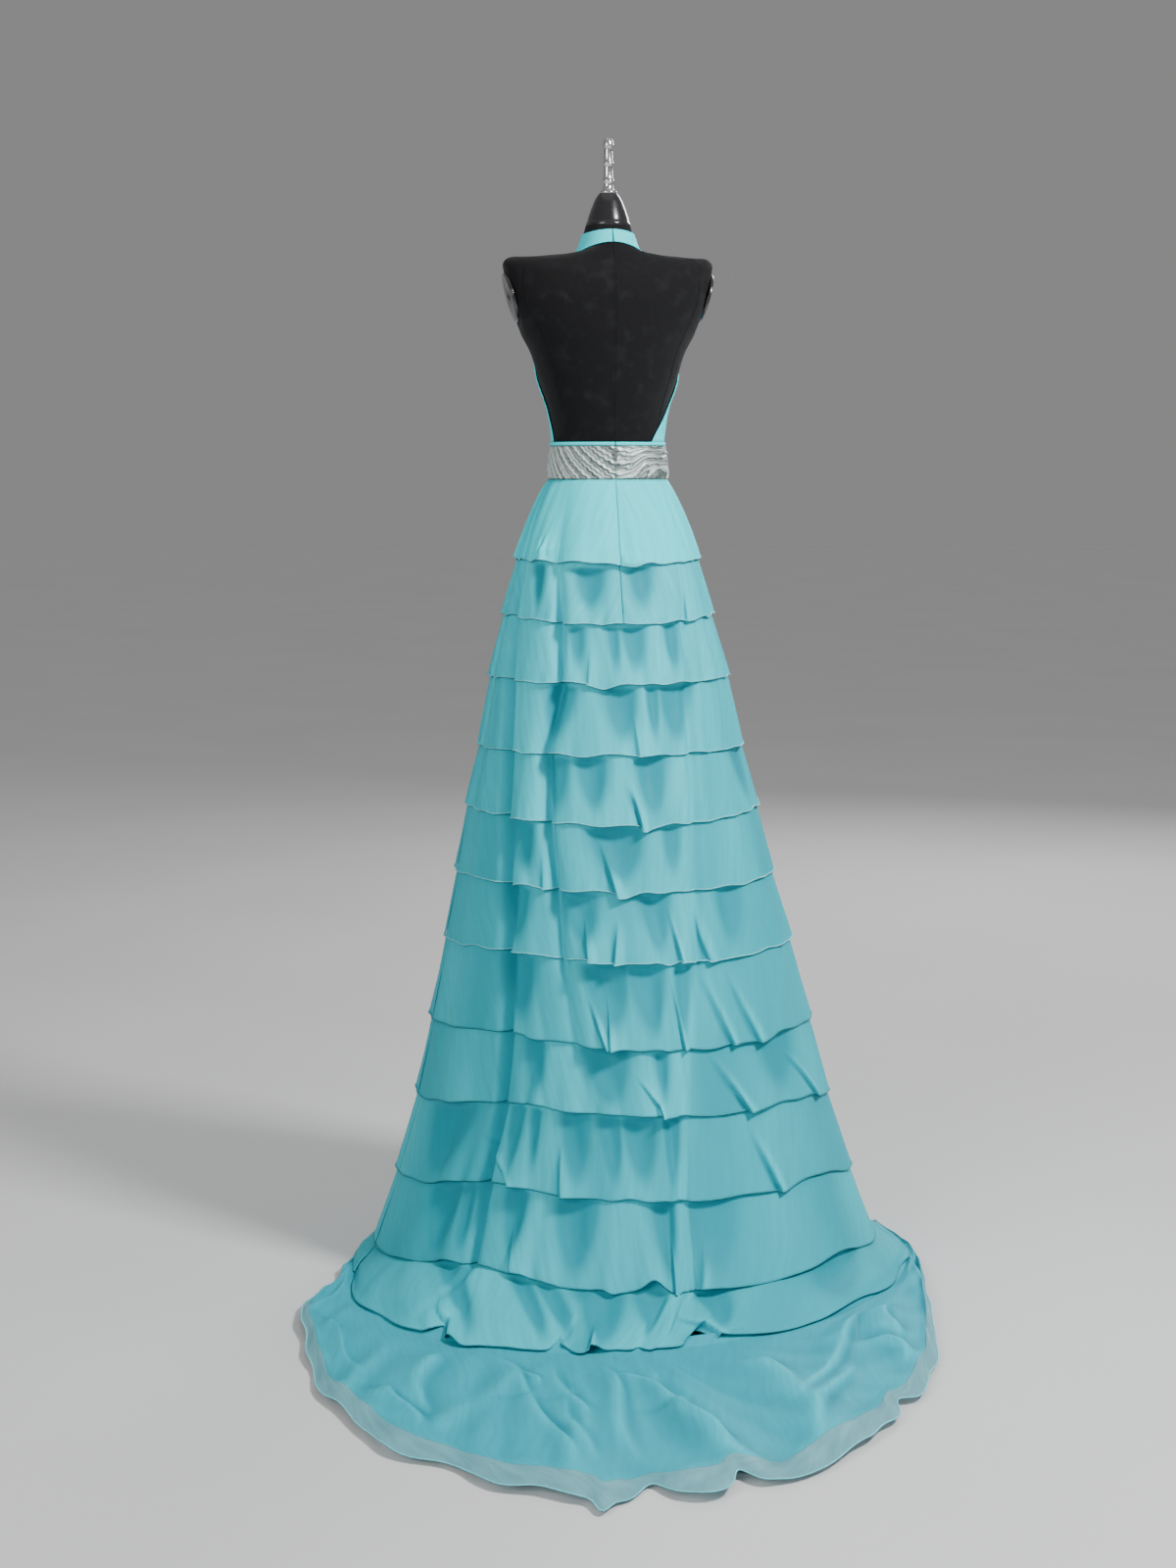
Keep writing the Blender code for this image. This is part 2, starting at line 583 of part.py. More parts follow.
def build_train(finish):
    """The train: one long flounce on the floor, from under the lowest tier."""
    back = cloth_angles(-90, 90)
    columns = np.array([-TRAIN_ENDS, -102, *back, 102, TRAIN_ENDS])
    angle, share = np.meshgrid(columns, [-LAP_SHARE, 0, 0.14, 0.32, 0.50, 0.68, 0.84, 1])
    level = 12 + share
    lift = train_lift(angle, level)
    add_wall("train", on_skirt(angle, level, lift), on_skirt(angle, level, lift - CLOTH), finish)


# ---------------------------------------------------------------- the zip

def build_zip(aqua, metal):
    """The tape behind the centre-back opening, the slider at its top, and the pull that swings on it."""
    half = ZIP_WIDTH / 2
    across = np.array([-half, 0, half])
    inner_gap = 2 * SEAM_GAP
    rows = []
    for height in (0.97, 0.5, 0.02):
        face = flat_out(band_surface(np.zeros(1), np.full(1, height)), -BAND_CLOTH - inner_gap)
        rows.append(face[0])
    for level in (0.10, 0.40, 0.70, 0.93):
        lift = np.array([-CLOTH - inner_gap - 0.0004])
        rows.append(on_skirt(np.zeros(1), np.full(1, level), lift)[0])
    outer = np.array([[(x, row[1] - 8 * x * x, row[2]) for x in across] for row in rows])
    outer = outer[:, ::-1]
    add_wall("zip_tape", outer, outer - (0, ZIP_THICK, 0), aqua)

    share = (PULL_PIVOT_Z - WAIST_SEAM_Z) / (WAIST_TOP_Z - WAIST_SEAM_Z)
    face_y = band_surface(np.zeros(1), np.full(1, share))[0, 1] + PLEAT_RAISE + SEAM_GAP
    pivot = Vector((0, face_y + 0.0025, PULL_PIVOT_Z))
    slider = box(
        "zip_slider", (-0.0026, face_y, pivot.z - 0.0050), (0.0026, face_y + 0.0016, pivot.z + 0.0045), metal)
    arch = box(
        "arch", (-0.0010, face_y + 0.0008, pivot.z - 0.0019), (0.0010, pivot.y + 0.0019, pivot.z + 0.0019), metal)
    eye = box(
        "eye", (-0.0030, pivot.y - 0.0009, pivot.z - 0.0009), (0.0030, pivot.y + 0.0009, pivot.z + 0.0009), metal)
    combine(slider, arch, "UNION")
    combine(slider, eye, "DIFFERENCE")

    # The pull hangs from its own top bar, which passes through the slider's arch.
    made = bmesh.new()
    outline = [(-0.0025, 0.0005), (0.0025, 0.0005), (0.0025, -0.0055), (0.0030, -0.0125)]
    for turn in np.radians([-20, -50, -90, -130, -160]):
        outline.append((0.0030 * np.cos(turn), -0.0130 + 0.0030 * np.sin(turn)))
    outline.append((-0.0030, -0.0125))
    outline.append((-0.0025, -0.0055))
    front = [made.verts.new((x, 0.0005, z)) for x, z in outline]
    plate = made.faces.new(front)
    grown = bmesh.ops.extrude_face_region(made, geom=[plate])["geom"]
    moved = [item for item in grown if isinstance(item, bmesh.types.BMVert)]
    bmesh.ops.translate(made, vec=(0, -0.0010, 0), verts=moved)
    pull = add_object("zip_pull", made, metal)
    window = box("window", (-0.0015, -0.0015, -0.0040), (0.0015, 0.0015, -0.0005), metal)
    window.location = pivot
    pull.location = pivot
    combine(pull, window, "DIFFERENCE")


def main():
    """Clears the scene and builds the gown on its form."""
    for old in list(bpy.data.objects):
        bpy.data.objects.remove(old)
    aqua = material("aqua chiffon", AQUA, 0.55)
    silver = material("silver pleating", SILVER, 0.35, 0.6)
    black = material("black form cloth", (0.012, 0.012, 0.013), 0.8)
    paint = material("black lacquer", (0.012, 0.012, 0.013), 0.25)
    metal = material("polished metal", (0.62, 0.63, 0.65), 0.2, 1.0)
    build_form(black)
    build_arm_plates(black)
    build_stand(paint, metal)
    build_bodice(aqua)
    build_neckband(aqua)
    build_waistband(silver, aqua)
    for number in range(len(RUFFLES)):
        build_tier(number, aqua)
    build_train(aqua)
    build_zip(aqua, metal)


main()
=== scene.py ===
"""Looks of a tiered halter evening gown with a floor train, worn by a limbless dress form.

Metres, +Z up. The gown's front faces -Y, its back and train +Y, and the wearer's left is +X. A place on the
form or on the skirt is an angle round the body (0 at the centre back, 90 at the wearer's right, 180 at the
centre front) and a level, which counts the rows of that surface's table of sections.
"""

import logging
import math
from dataclasses import dataclass, field
from enum import Enum
from typing import Callable, Iterable, NamedTuple, Sequence

import bpy
import numpy as np
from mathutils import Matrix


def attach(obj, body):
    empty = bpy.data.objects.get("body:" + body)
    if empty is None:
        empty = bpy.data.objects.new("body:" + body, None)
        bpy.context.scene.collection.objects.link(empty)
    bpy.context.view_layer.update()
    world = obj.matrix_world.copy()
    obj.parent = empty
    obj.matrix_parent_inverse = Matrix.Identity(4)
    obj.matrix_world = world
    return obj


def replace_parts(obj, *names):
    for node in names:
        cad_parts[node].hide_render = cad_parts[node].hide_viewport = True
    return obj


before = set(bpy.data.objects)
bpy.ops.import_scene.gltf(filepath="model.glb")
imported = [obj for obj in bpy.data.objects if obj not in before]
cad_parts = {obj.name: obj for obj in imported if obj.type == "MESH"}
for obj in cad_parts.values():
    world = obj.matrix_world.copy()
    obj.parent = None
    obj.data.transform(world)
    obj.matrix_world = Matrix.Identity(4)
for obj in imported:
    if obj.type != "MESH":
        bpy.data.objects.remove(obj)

log = logging.getLogger("gown")
Array = np.ndarray
Surface = Callable[[Array, Array], Array]

BODY = "gown_on_stand"
CLOTH = 0.0012
SEAM_GAP = 0.0003
LAP_GAP = 0.0008
LAP_SHARE = 0.20
HIP_ROUND = 0.004
FORM_CLEAR = 0.0008
BAND_CLOTH = 0.0020
WAIST_SEAM_Z = 1.393
WAIST_TOP_Z = 1.4575
BINDING_HEIGHT = 0.005
BINDING_TURNS = 20
FLOOR_CLEAR = 0.0011
TIP_SHARE = 0.02
SEWN_FULLNESS = 1.06
FLOOR_LEVEL, TRAIN_LEVEL = 12, 13


class Section(NamedTuple):
    """One row of a lofted surface: heights at its side, back and front, and its reach each way."""

    name: str
    z_side: float
    z_back: float
    z_front: float
    half_width: float
    back: float
    front: float
    shift_x: float = 0.0
    shift_y: float = 0.0


class Fold(NamedTuple):
    """A long fold of the skirt: its body angle at each level from 1, where it shows, and its size."""

    name: str
    path: tuple[float, ...]
    begins: float
    full: float
    fades: float
    ends: float
    depth: float
    half_width: float
    rise: float = 0.0


class Flare(NamedTuple):
    """A place where a tier's hem stands off: cloth angle and width in degrees, stand-off in metres."""

    centre: float
    width: float
    height: float


class Pinch(NamedTuple):
    """A pinched crease: cloth angle half way up the tier and at its hem, its height, and where it starts."""

    angle_up: float
    angle_hem: float
    height: float
    begins: float = 0.34


class Arch(NamedTuple):
    """A place where a hem is lifted clear: its cloth angle and width in degrees, and its rise in metres."""

    centre: float
    width: float
    rise: float


class Ridge(NamedTuple):
    """A soft ridge of the train: cloth angle and level at both ends, height and half width in metres."""

    angle_in: float
    level_in: float
    angle_out: float
    level_out: float
    height: float
    half_width: float


FORM = (
    Section("underside", 1.085, 1.085, 1.085, 0.1380, 0.1020, 0.0900),
    Section("hip", 1.235, 1.235, 1.235, 0.1490, 0.1160, 0.0970),
    Section("upper hip", 1.330, 1.330, 1.330, 0.1200, 0.0970, 0.0880),
    Section("waist seam", 1.393, 1.393, 1.393, 0.1014, 0.0800, 0.0796),
    Section("waist", 1.4575, 1.4575, 1.4575, 0.0964, 0.0782, 0.0786),
    Section("ribs", 1.510, 1.510, 1.510, 0.1035, 0.0840, 0.0900),
    Section("under bust", 1.570, 1.570, 1.570, 0.1230, 0.0920, 0.1120),
    Section("bust", 1.610, 1.610, 1.608, 0.1350, 0.0960, 0.1200),
    Section("underarm", 1.650, 1.650, 1.640, 0.1560, 0.0990, 0.1120),
    Section("arm plate", 1.705, 1.700, 1.685, 0.1800, 0.0980, 0.0970),
    Section("shoulder", 1.760, 1.740, 1.712, 0.1860, 0.0880, 0.0860),
    Section("shoulder top", 1.777, 1.765, 1.730, 0.1680, 0.0740, 0.0760),
    Section("neck base", 1.776, 1.7995, 1.748, 0.0660, 0.0580, 0.0600),
    Section("neck", 1.815, 1.8215, 1.787, 0.0440, 0.0450, 0.0440),
    Section("neck top", 1.832, 1.832, 1.832, 0.0390, 0.0390, 0.0390),
)
SKIRT = (
    Section("waist seam", 1.3927, 1.3927, 1.3927, 0.1052, 0.0850, 0.0840),
    Section("yoke", 1.254, 1.245, 1.252, 0.160, 0.135, 0.124),
    Section("tier 1", 1.157, 1.145, 1.157, 0.183, 0.165, 0.148),
    Section("tier 2", 1.049, 1.043, 1.049, 0.209, 0.195, 0.174, -0.003),
    Section("tier 3", 0.926, 0.926, 0.926, 0.231, 0.228, 0.200, -0.005),
    Section("tier 4", 0.820, 0.809, 0.820, 0.256, 0.262, 0.225, -0.008),
    Section("tier 5", 0.701, 0.699, 0.701, 0.280, 0.295, 0.250, -0.012),
    Section("tier 6", 0.578, 0.583, 0.578, 0.308, 0.330, 0.276, -0.018),
    Section("tier 7", 0.431, 0.442, 0.431, 0.340, 0.365, 0.304, -0.024),
    Section("tier 8", 0.294, 0.337, 0.294, 0.370, 0.395, 0.330, -0.028),
    Section("tier 9", 0.154, 0.200, 0.154, 0.409, 0.420, 0.352, -0.031),
    Section("tier 10", 0.030, 0.059, 0.030, 0.450, 0.440, 0.396, -0.028, 0.030),
    Section("tier 11", CLOTH, CLOTH, CLOTH, 0.500, 0.480, 0.500, -0.034, 0.100),
)
# The train's edge on the floor: cloth angle, x and y.
TRAIN_HEM = (
    (-114, 0.438, -0.088), (-90, 0.494, 0.120), (-72, 0.570, 0.342), (-54, 0.566, 0.615),
    (-36, 0.506, 0.888), (-18, 0.364, 1.106), (0, 0.165, 1.204), (18, -0.075, 1.163),
    (36, -0.270, 0.985), (54, -0.416, 0.712), (72, -0.488, 0.408), (90, -0.541, 0.117),
    (114, -0.526, -0.081),
)
FOLDS = (
    Fold(
        "left side", (-77, -72, -65, -60, -55, -51, -50, -48, -47.5, -49, -48), 0.6, 2.2, 10.6, 11.8, 0.030, 0.020,
    ),
    Fold("left back", (-41, -36, -33, -38, -35, -31, -28, -23, -19, -16), 0.6, 2.0, 5.5, 9.0, 0.022, 0.019),
    Fold("right back", (45, 39, 33, 28, 24, 20, 16, 11, 8, 6), 0.8, 2.0, 6.0, 9.5, 0.010, 0.021),
    Fold("flat left back", (-48,), 4.5, 10.0, 11.0, 12.0, 0.036, 0.190, 0.026),
    Fold("flat right back", (50,), 5.5, 10.5, 11.0, 12.0, 0.018, 0.150, 0.020),
    Fold("right front", (122, 119), 0.8, 3.0, 10.0, 11.6, 0.016, 0.042),
    Fold("middle front", (168, 165), 1.0, 4.0, 10.0, 11.6, 0.013, 0.045),
    Fold("left front", (226, 229), 0.8, 3.0, 10.0, 11.6, 0.017, 0.042),
)
# Cloth angles at which a thread's place round the body is tied to a fold's, or to its own.
GRAIN_KNOTS = (-90, -54, -27, 0, 27, 90, 270)

# Where each hem of the back stands off the tier beneath it, from the yoke's hem down.
FLARES = (
    (Flare(-38, 7, 0.008), Flare(-13, 22, 0.012), Flare(8, 10, 0.009)),
    (Flare(-19, 7, 0.009), Flare(-4, 5, 0.008), Flare(4, 9, 0.010), Flare(20, 6, 0.009)),
    (Flare(-26, 11, 0.011), Flare(-2, 10, 0.013), Flare(10, 5, 0.009), Flare(21, 15, 0.012)),
    (Flare(-24, 8, 0.010), Flare(-12, 8, 0.012), Flare(8, 10, 0.011), Flare(62, 16, 0.006)),
    (Flare(-43, 23, 0.012), Flare(-6, 12, 0.014), Flare(16, 8, 0.007)),
    (Flare(-49, 17, 0.012), Flare(-19, 9, 0.013), Flare(6, 11, 0.013), Flare(40, 9, 0.006)),
    (Flare(-48, 19, 0.011), Flare(-14, 11, 0.014), Flare(1, 12, 0.012), Flare(20, 9, 0.009)),
    (Flare(-42, 6, 0.009), Flare(-18, 17, 0.014), Flare(4, 9, 0.008), Flare(52, 12, 0.006)),
    (
        Flare(-70, 11, 0.012), Flare(-48, 4, 0.008), Flare(-42, 3, 0.007), Flare(-31, 6, 0.010),
        Flare(-19, 7, 0.010), Flare(-8, 11, 0.011), Flare(10, 19, 0.012),
    ),
    (
        Flare(-65, 6, 0.014), Flare(-58, 3, 0.009), Flare(-45, 5, 0.011), Flare(-31, 7, 0.012),
        Flare(3, 17, 0.014), Flare(30, 9, 0.007),
    ),
    (
        Flare(-60, 5, 0.012), Flare(-42, 4, 0.010), Flare(-36, 4, 0.009), Flare(-24, 11, 0.014),
        Flare(-5, 10, 0.013), Flare(29, 5, 0.010), Flare(58, 14, 0.008),
    ),
    (
        Flare(-48, 4, 0.012), Flare(-43, 3, 0.010), Flare(-23, 5, 0.013), Flare(-11, 4, 0.010),
        Flare(33, 4, 0.013), Flare(60, 9, 0.008),
    ),
)
# The pinched creases of each hem, from the yoke's hem down.
PINCHES = (
    (Pinch(-34, -36, 0.004),),
    (Pinch(-30, -31, 0.004), Pinch(30, 31, 0.004)),
    (Pinch(-14, -15, 0.004),),
    (Pinch(2, 3, 0.005),),
    (Pinch(-0.8, 2.5, 0.012),),
    (Pinch(-9.9, -7.0, 0.012, 0.04), Pinch(-32, -33, 0.005)),
    (
        Pinch(-18.4, -17.7, 0.008), Pinch(-8.4, -10.0, 0.008), Pinch(14.1, 17.6, 0.008, 0.15),
        Pinch(28.1, 30.4, 0.007, 0.15),
    ),
    (
        Pinch(-19.3, -16.0, 0.009), Pinch(-14.1, -14.7, 0.007), Pinch(15.2, 20.6, 0.008, 0.10),
        Pinch(32.1, 37.2, 0.009, 0.06), Pinch(40.1, 44.7, 0.008, 0.10),
    ),
    (Pinch(-5.6, 2.6, 0.010), Pinch(35.3, 40.4, 0.010, 0.04), Pinch(58.3, 66.0, 0.008, 0.04)),
    (Pinch(-55.2, -46.2, 0.008), Pinch(-34.5, -34.0, 0.007), Pinch(42.3, 45.4, 0.009, 0.10)),
    (Pinch(-45.2, -43.4, 0.007), Pinch(5.9, 6.5, 0.009), Pinch(28.7, 27.6, 0.006)),
    (Pinch(-44.0, -45.0, 0.006), Pinch(-10.0, -12.0, 0.007), Pinch(34.0, 36.0, 0.008)),
)
# Where a hem lifts or drops in a short arch, by tier.
ARCHES = {
    0: (Arch(5.0, 3.0, -0.004), Arch(-20.0, 14.0, 0.003)),
    2: (Arch(-22.0, 6.0, 0.004), Arch(-8.0, 4.0, -0.004)),
    4: (Arch(3.5, 2.0, -0.004),),
    5: (Arch(-5.0, 3.0, -0.004),),
    10: (Arch(-5.0, 3.2, 0.017), Arch(-20.0, 2.4, -0.006), Arch(-36.0, 3.0, -0.004), Arch(9.0, 3.0, -0.006)),
}
# Where a hem on the floor lies outside its even line, or is drawn in from it.
HEM_TURNS = {
    "tier_11": (
        Flare(-47.5, 1.5, -0.026), Flare(-41.0, 2.6, 0.014), Flare(-24.0, 1.5, -0.026), Flare(-16.0, 3.0, 0.008),
        Flare(33.0, 1.8, -0.046), Flare(44.0, 6.0, 0.008),
    ),
    "train": (
        Flare(-21.5, 4.5, -0.034), Flare(-9.0, 4.5, -0.014), Flare(-2.5, 1.0, 0.040), Flare(3.0, 2.0, -0.058),
        Flare(9.0, 2.4, 0.014), Flare(13.1, 1.3, -0.048), Flare(26.5, 5.0, -0.012), Flare(34.8, 2.2, -0.010),
        Flare(41.2, 1.8, -0.032), Flare(-40.0, 5.0, -0.006),
    ),
}
TIER_NAMES = ("yoke", *(f"tier_{number:02d}" for number in range(1, 12)))
LOWEST = len(TIER_NAMES) - 1
# The first tier whose hem takes the darker copy of the roll, painted shade.
FIRST_SHADED_HEM = 7
TRAIN_RIDGES = (
    Ridge(-84, 12.10, -70, 13.0, 0.012, 0.030),
    Ridge(-52, 12.00, -44, 13.0, 0.014, 0.030),
    Ridge(-24, 12.10, -30, 13.0, 0.010, 0.028),
    Ridge(-8, 12.20, -6, 13.0, 0.012, 0.026),
    Ridge(8, 12.10, 16, 13.0, 0.010, 0.030),
    Ridge(34, 12.10, 30, 13.0, 0.009, 0.030),
    Ridge(58, 12.00, 50, 13.0, 0.013, 0.032),
    Ridge(86, 12.10, 76, 13.0, 0.011, 0.030),
)


# ---------------------------------------------------------------- shapes worked out as arrays


def ease(value: Array, begins: float, ends: float) -> Array:
    """0 before begins, 1 after ends, and t * t * (3 - 2 t) between them."""
    part = np.clip((value - begins) / (ends - begins), 0, 1)
    return part * part * (3 - 2 * part)


def smooth_through(level: Array, values: Sequence[float]) -> Array:
    """A curve through one value at each whole level that never swings past its neighbours.

    Between two levels it is the cubic with the two values and slopes there; an inner slope is the harmonic
    mean of the steps beside it, or 0 where they turn.

    Args:
        level: Where on the curve, 0 at the first value.
        values: The value at each whole level.

    Returns:
        The curve's values, shaped as level.
    """
    values = np.asarray(values, float)
    steps = np.diff(values)
    slopes = np.zeros(len(values))
    before, after = steps[:-1], steps[1:]
    steady = before * after > 0
    slopes[1:-1][steady] = 2 * before[steady] * after[steady] / (before + after)[steady]
    slopes[0], slopes[-1] = steps[0], steps[-1]
    low = np.clip(np.floor(level).astype(int), 0, len(steps) - 1)
    part = level - low
    rise = part * part * (3 - 2 * part)
    return (
        values[low] * (1 - rise)
        + values[low + 1] * rise
        + slopes[low] * part * (1 - part) ** 2
        - slopes[low + 1] * part * part * (1 - part)
    )


def loft(table: Sequence[Section], angle: Array, level: Array) -> Array:
    """Points of the surface through a table's sections.

    At angle a: x = shift - half width * sin a, y = shift + depth * cos a, with the back's depth where cos a is
    positive and the front's elsewhere; z runs from the side's height to the back's or front's as cos a squared.

    Args:
        table: The sections, one to a whole level.
        angle: Degrees round the body.
        level: Rows of the table, in fractions.

    Returns:
        Points, with a last axis of three.
    """
    turn = np.radians(angle)
    size = {
        name: smooth_through(level, [getattr(row, name) for row in table])
        for name in Section._fields[1:]
    }
    towards_back = np.maximum(np.cos(turn), 0) ** 2
    towards_front = np.maximum(-np.cos(turn), 0) ** 2
    depth = np.where(np.cos(turn) > 0, size["back"], size["front"])
    x = size["shift_x"] - size["half_width"] * np.sin(turn)
    y = size["shift_y"] + depth * np.cos(turn)
    z = (
        size["z_side"]
        + (size["z_back"] - size["z_side"]) * towards_back
        + (size["z_front"] - size["z_side"]) * towards_front
    )
    return np.stack([x, y, z], axis=-1)


def outward(surface: Surface, angle: Array, level: Array, step_level: float) -> Array:
    """Unit normals away from the body: the cross product of the steps down and across the surface.

    Args:
        surface: Points from angles and levels.
        angle: Degrees round the body.
        level: Levels.
        step_level: Half the step along the levels; negative where they count upwards.

    Returns:
        Unit vectors, with a last axis of three.
    """
    across = surface(angle + 0.2, level) - surface(angle - 0.2, level)
    down = surface(angle, level + step_level) - surface(angle, level - step_level)
    normal = np.cross(down, across)
    return normal / np.linalg.norm(normal, axis=-1, keepdims=True)


def waves(angle: Array, seed: int, low: int, high: int) -> Array:
    """A smooth line of waves round the body, from about -1 to 1: a sum of sines with seeded phases.

    Args:
        angle: Degrees round the body.
        seed: Seed of the phases and of each wave's share.
        low: The fewest waves to a round.
        high: The most.

    Returns:
        The sum of share * sin(count * angle + phase) over the counts, scaled and shaped as angle.
    """
    dice = np.random.default_rng(seed)
    counts = np.arange(low, high + 1)
    phases = dice.uniform(0, 2 * np.pi, len(counts))
    shares = dice.uniform(0.5, 1.0, len(counts))
    turns = np.multiply.outer(np.radians(angle), counts) + phases
    total = np.sin(turns) @ shares
    return total / np.sqrt(np.sum(shares**2) * 2.2)


def hem_turn(angle: Array, turns: Iterable[Flare]) -> Array:
    """How far a hem lies outside its even line: the sum of height * exp(-(apart / width) ** 2)."""
    return sum(turn.height * np.exp(-(((angle - turn.centre) / turn.width) ** 2)) for turn in turns)


def arc_lengths(points: Array, axis: int) -> Array:
    """Distance along each line of a grid of points from its start, in metres.

    Args:
        points: Rows by columns by 3.
        axis: 0 down the columns, or 1 along the rows.

    Returns:
        Rows by columns of distances.
    """
    steps = np.linalg.norm(np.diff(points, axis=axis), axis=-1)
    pad = [(0, 0), (0, 0)]
    pad[axis] = (1, 0)
    return np.cumsum(np.pad(steps, pad), axis=axis)


def add_piece(name: str, corners: Array, faces: Array, uv: Array | None = None) -> bpy.types.Object:
    """Makes a smooth-shaded mesh object at the origin.

    Args:
        name: The piece's name.
        corners: Vertices, n by 3.
        faces: Corners of each four-sided face, m by 4.
        uv: Optional UV place of each vertex, n by 2.

    Returns:
        The new object.
    """
    mesh = bpy.data.meshes.new(name)
    mesh.from_pydata(corners.reshape(-1, 3).tolist(), [], faces.tolist())
    if uv is not None:
        layer = mesh.uv_layers.new(name="cloth")
        layer.uv.foreach_set("vector", uv.reshape(-1, 2)[faces.reshape(-1)].ravel())
    mesh.shade_smooth()
    made = bpy.data.objects.new(name, mesh)
    bpy.context.scene.collection.objects.link(made)
    return made


def set_values(piece: bpy.types.Object, name: str, values: Array) -> None:
    """Keeps a value at each vertex of a piece, for its finish to read."""
    kept = piece.data.attributes.new(name, "FLOAT", "POINT")
    kept.data.foreach_set("value", values.ravel())


def grid_faces(rows: int, columns: int, round_columns: bool = False, round_rows: bool = False) -> Array:
    """Corner numbers of a grid's faces, outward where rows run down and columns run with the angle.

    Args:
        rows: Rows of points.
        columns: Points to a row.
        round_columns: Whether the last column joins the first.
        round_rows: Whether the last row joins the first.

    Returns:
        Corner numbers, n by 4.
    """
    row = np.arange(rows if round_rows else rows - 1)[:, None]
    column = np.arange(columns if round_columns else columns - 1)[None, :]
    below, beside = (row + 1) % rows, (column + 1) % columns
    faces = [row * columns + column, below * columns + column, below * columns + beside, row * columns + beside]
    return np.stack(np.broadcast_arrays(*faces), axis=-1).reshape(-1, 4)


def add_sheet(name: str, points: Array, thickness: float) -> bpy.types.Object:
    """A sheet of cloth whose outer face is a grid of points, thickened inwards by a Solidify modifier.

    Its UV map is in metres: the run along the row and the drop down the column.

    Args:
        name: The piece's name.
        points: Rows by columns by 3, rows downwards.
        thickness: The cloth's thickness in metres.

    Returns:
        The new object.
    """
    run, drop = arc_lengths(points, 1), arc_lengths(points, 0)
    uv = np.stack([run - run[:, -1:] / 2, drop], axis=-1)
    made = add_piece(name, points, grid_faces(*points.shape[:2]), uv)
    wall = made.modifiers.new("cloth thickness", "SOLIDIFY")
    wall.thickness, wall.offset = thickness, -1.0
    return made


def add_tube(name: str, path: Array, radius: float, sides: int = 6) -> bpy.types.Object:
    """A round thread or roll along a path of points, drawn in at both ends.

    Each ring is radius * (cos t * side + sin t * up), with side and up square to the path's own direction.

    Args:
        name: The piece's name.
        path: n by 3 points.
        radius: In metres.
        sides: Faces round it.

    Returns:
        The new object.
    """
    ahead = np.roll(path, -1, axis=0) - np.roll(path, 1, axis=0)
    ahead[0], ahead[-1] = path[1] - path[0], path[-1] - path[-2]
    ahead /= np.linalg.norm(ahead, axis=1, keepdims=True)
    helper = np.where(np.abs(ahead[:, 2:3]) > 0.9, [[1.0, 0.0, 0.0]], [[0.0, 0.0, 1.0]])
    side = np.cross(ahead, helper)
    side /= np.linalg.norm(side, axis=1, keepdims=True)
    up = np.cross(side, ahead)
    turn = np.linspace(0, 2 * np.pi, sides, endpoint=False)[None, :, None]
    path, side, up = (np.concatenate([v[:1], v, v[-1:]]) for v in (path, side, up))
    size = np.full((len(path), 1, 1), radius)
    size[[0, -1]] *= TIP_SHARE
    rings = path[:, None] + size * (np.cos(turn) * side[:, None] + np.sin(turn) * up[:, None])
    faces = grid_faces(len(path), sides, round_columns=True)[:, ::-1]
    run = np.linalg.norm(np.diff(path, axis=0, prepend=path[:1]), axis=1).cumsum()
    uv = np.stack(np.broadcast_arrays(run[:, None], np.arange(sides)[None] * radius), axis=-1)
    return add_piece(name, rings, faces, uv)


def add_hem(name: str, path: Array, radius: float) -> bpy.types.Object:
    """A rolled hem: a tube whose attribute "tone" is 1 on its upper side, a painted highlight,
    and 0 below, a painted shadow.

    Args:
        name: The hem's name.
        path: n by 3 points.
        radius: In metres.

    Returns:
        The new object.
    """
    sides = 8
    made = add_tube(name, path, radius, sides)
    turn = np.linspace(0, 2 * np.pi, sides, endpoint=False)
    # Painted highlight on the roll's upper side, painted shadow on its underside.
    set_values(made, "tone", np.tile(np.clip(0.55 + 1.3 * np.sin(turn), 0, 1), len(path) + 2))
    return made


def add_turned(name: str, profile: Sequence[tuple[float, float]], steps: int = 2,
               sides: int = 72) -> bpy.types.Object:
    """A solid turned about the upright line through the origin.

    The profile's points are joined by straight runs, each cut into even steps, and turned: x = r sin t,
    y = r cos t. Its first and last radii are 0, so the poles are closed.

    Args:
        name: The piece's name.
        profile: (radius, height), from the bottom up.
        steps: Rows to each run.
        sides: Faces round it.

    Returns:
        The new object.
    """
    profile_points = np.array(profile, float)
    along = np.linspace(0, len(profile) - 1, (len(profile) - 1) * steps + 1)
    radius = np.interp(along, np.arange(len(profile)), profile_points[:, 0])[::-1]
    height = np.interp(along, np.arange(len(profile)), profile_points[:, 1])[::-1]
    radius = np.maximum(radius, 2e-5)
    turn = np.linspace(0, 2 * np.pi, sides, endpoint=False)
    points = np.stack(np.broadcast_arrays(
        -radius[:, None] * np.sin(turn), radius[:, None] * np.cos(turn), height[:, None]), axis=-1)
    made = add_piece(name, points, grid_faces(len(radius), sides, round_columns=True))
    caps = made.modifiers.new("close the poles", "WELD")
    caps.merge_threshold = 0.00006
    made.data.set_sharp_from_angle(angle=math.radians(35))
    return made


# ---------------------------------------------------------------- finishes


class Wire:
    """A node's output that stands in sums as a number does."""

    def __init__(self, paint: "Paint", socket: bpy.types.NodeSocket) -> None:
        """Keeps the material in the making and the output."""
        self.paint, self.socket = paint, socket

    def __add__(self, other: "Wire | float") -> "Wire":
        """self + other."""
        return self.paint.maths("ADD", self, other)

    def __mul__(self, other: "Wire | float") -> "Wire":
        """self * other."""
        return self.paint.maths("MULTIPLY", self, other)

    __radd__, __rmul__ = __add__, __mul__


class Place(Enum):
    """Where a pattern is measured from."""

    OBJECT = "Object"
    CLOTH = "UV"


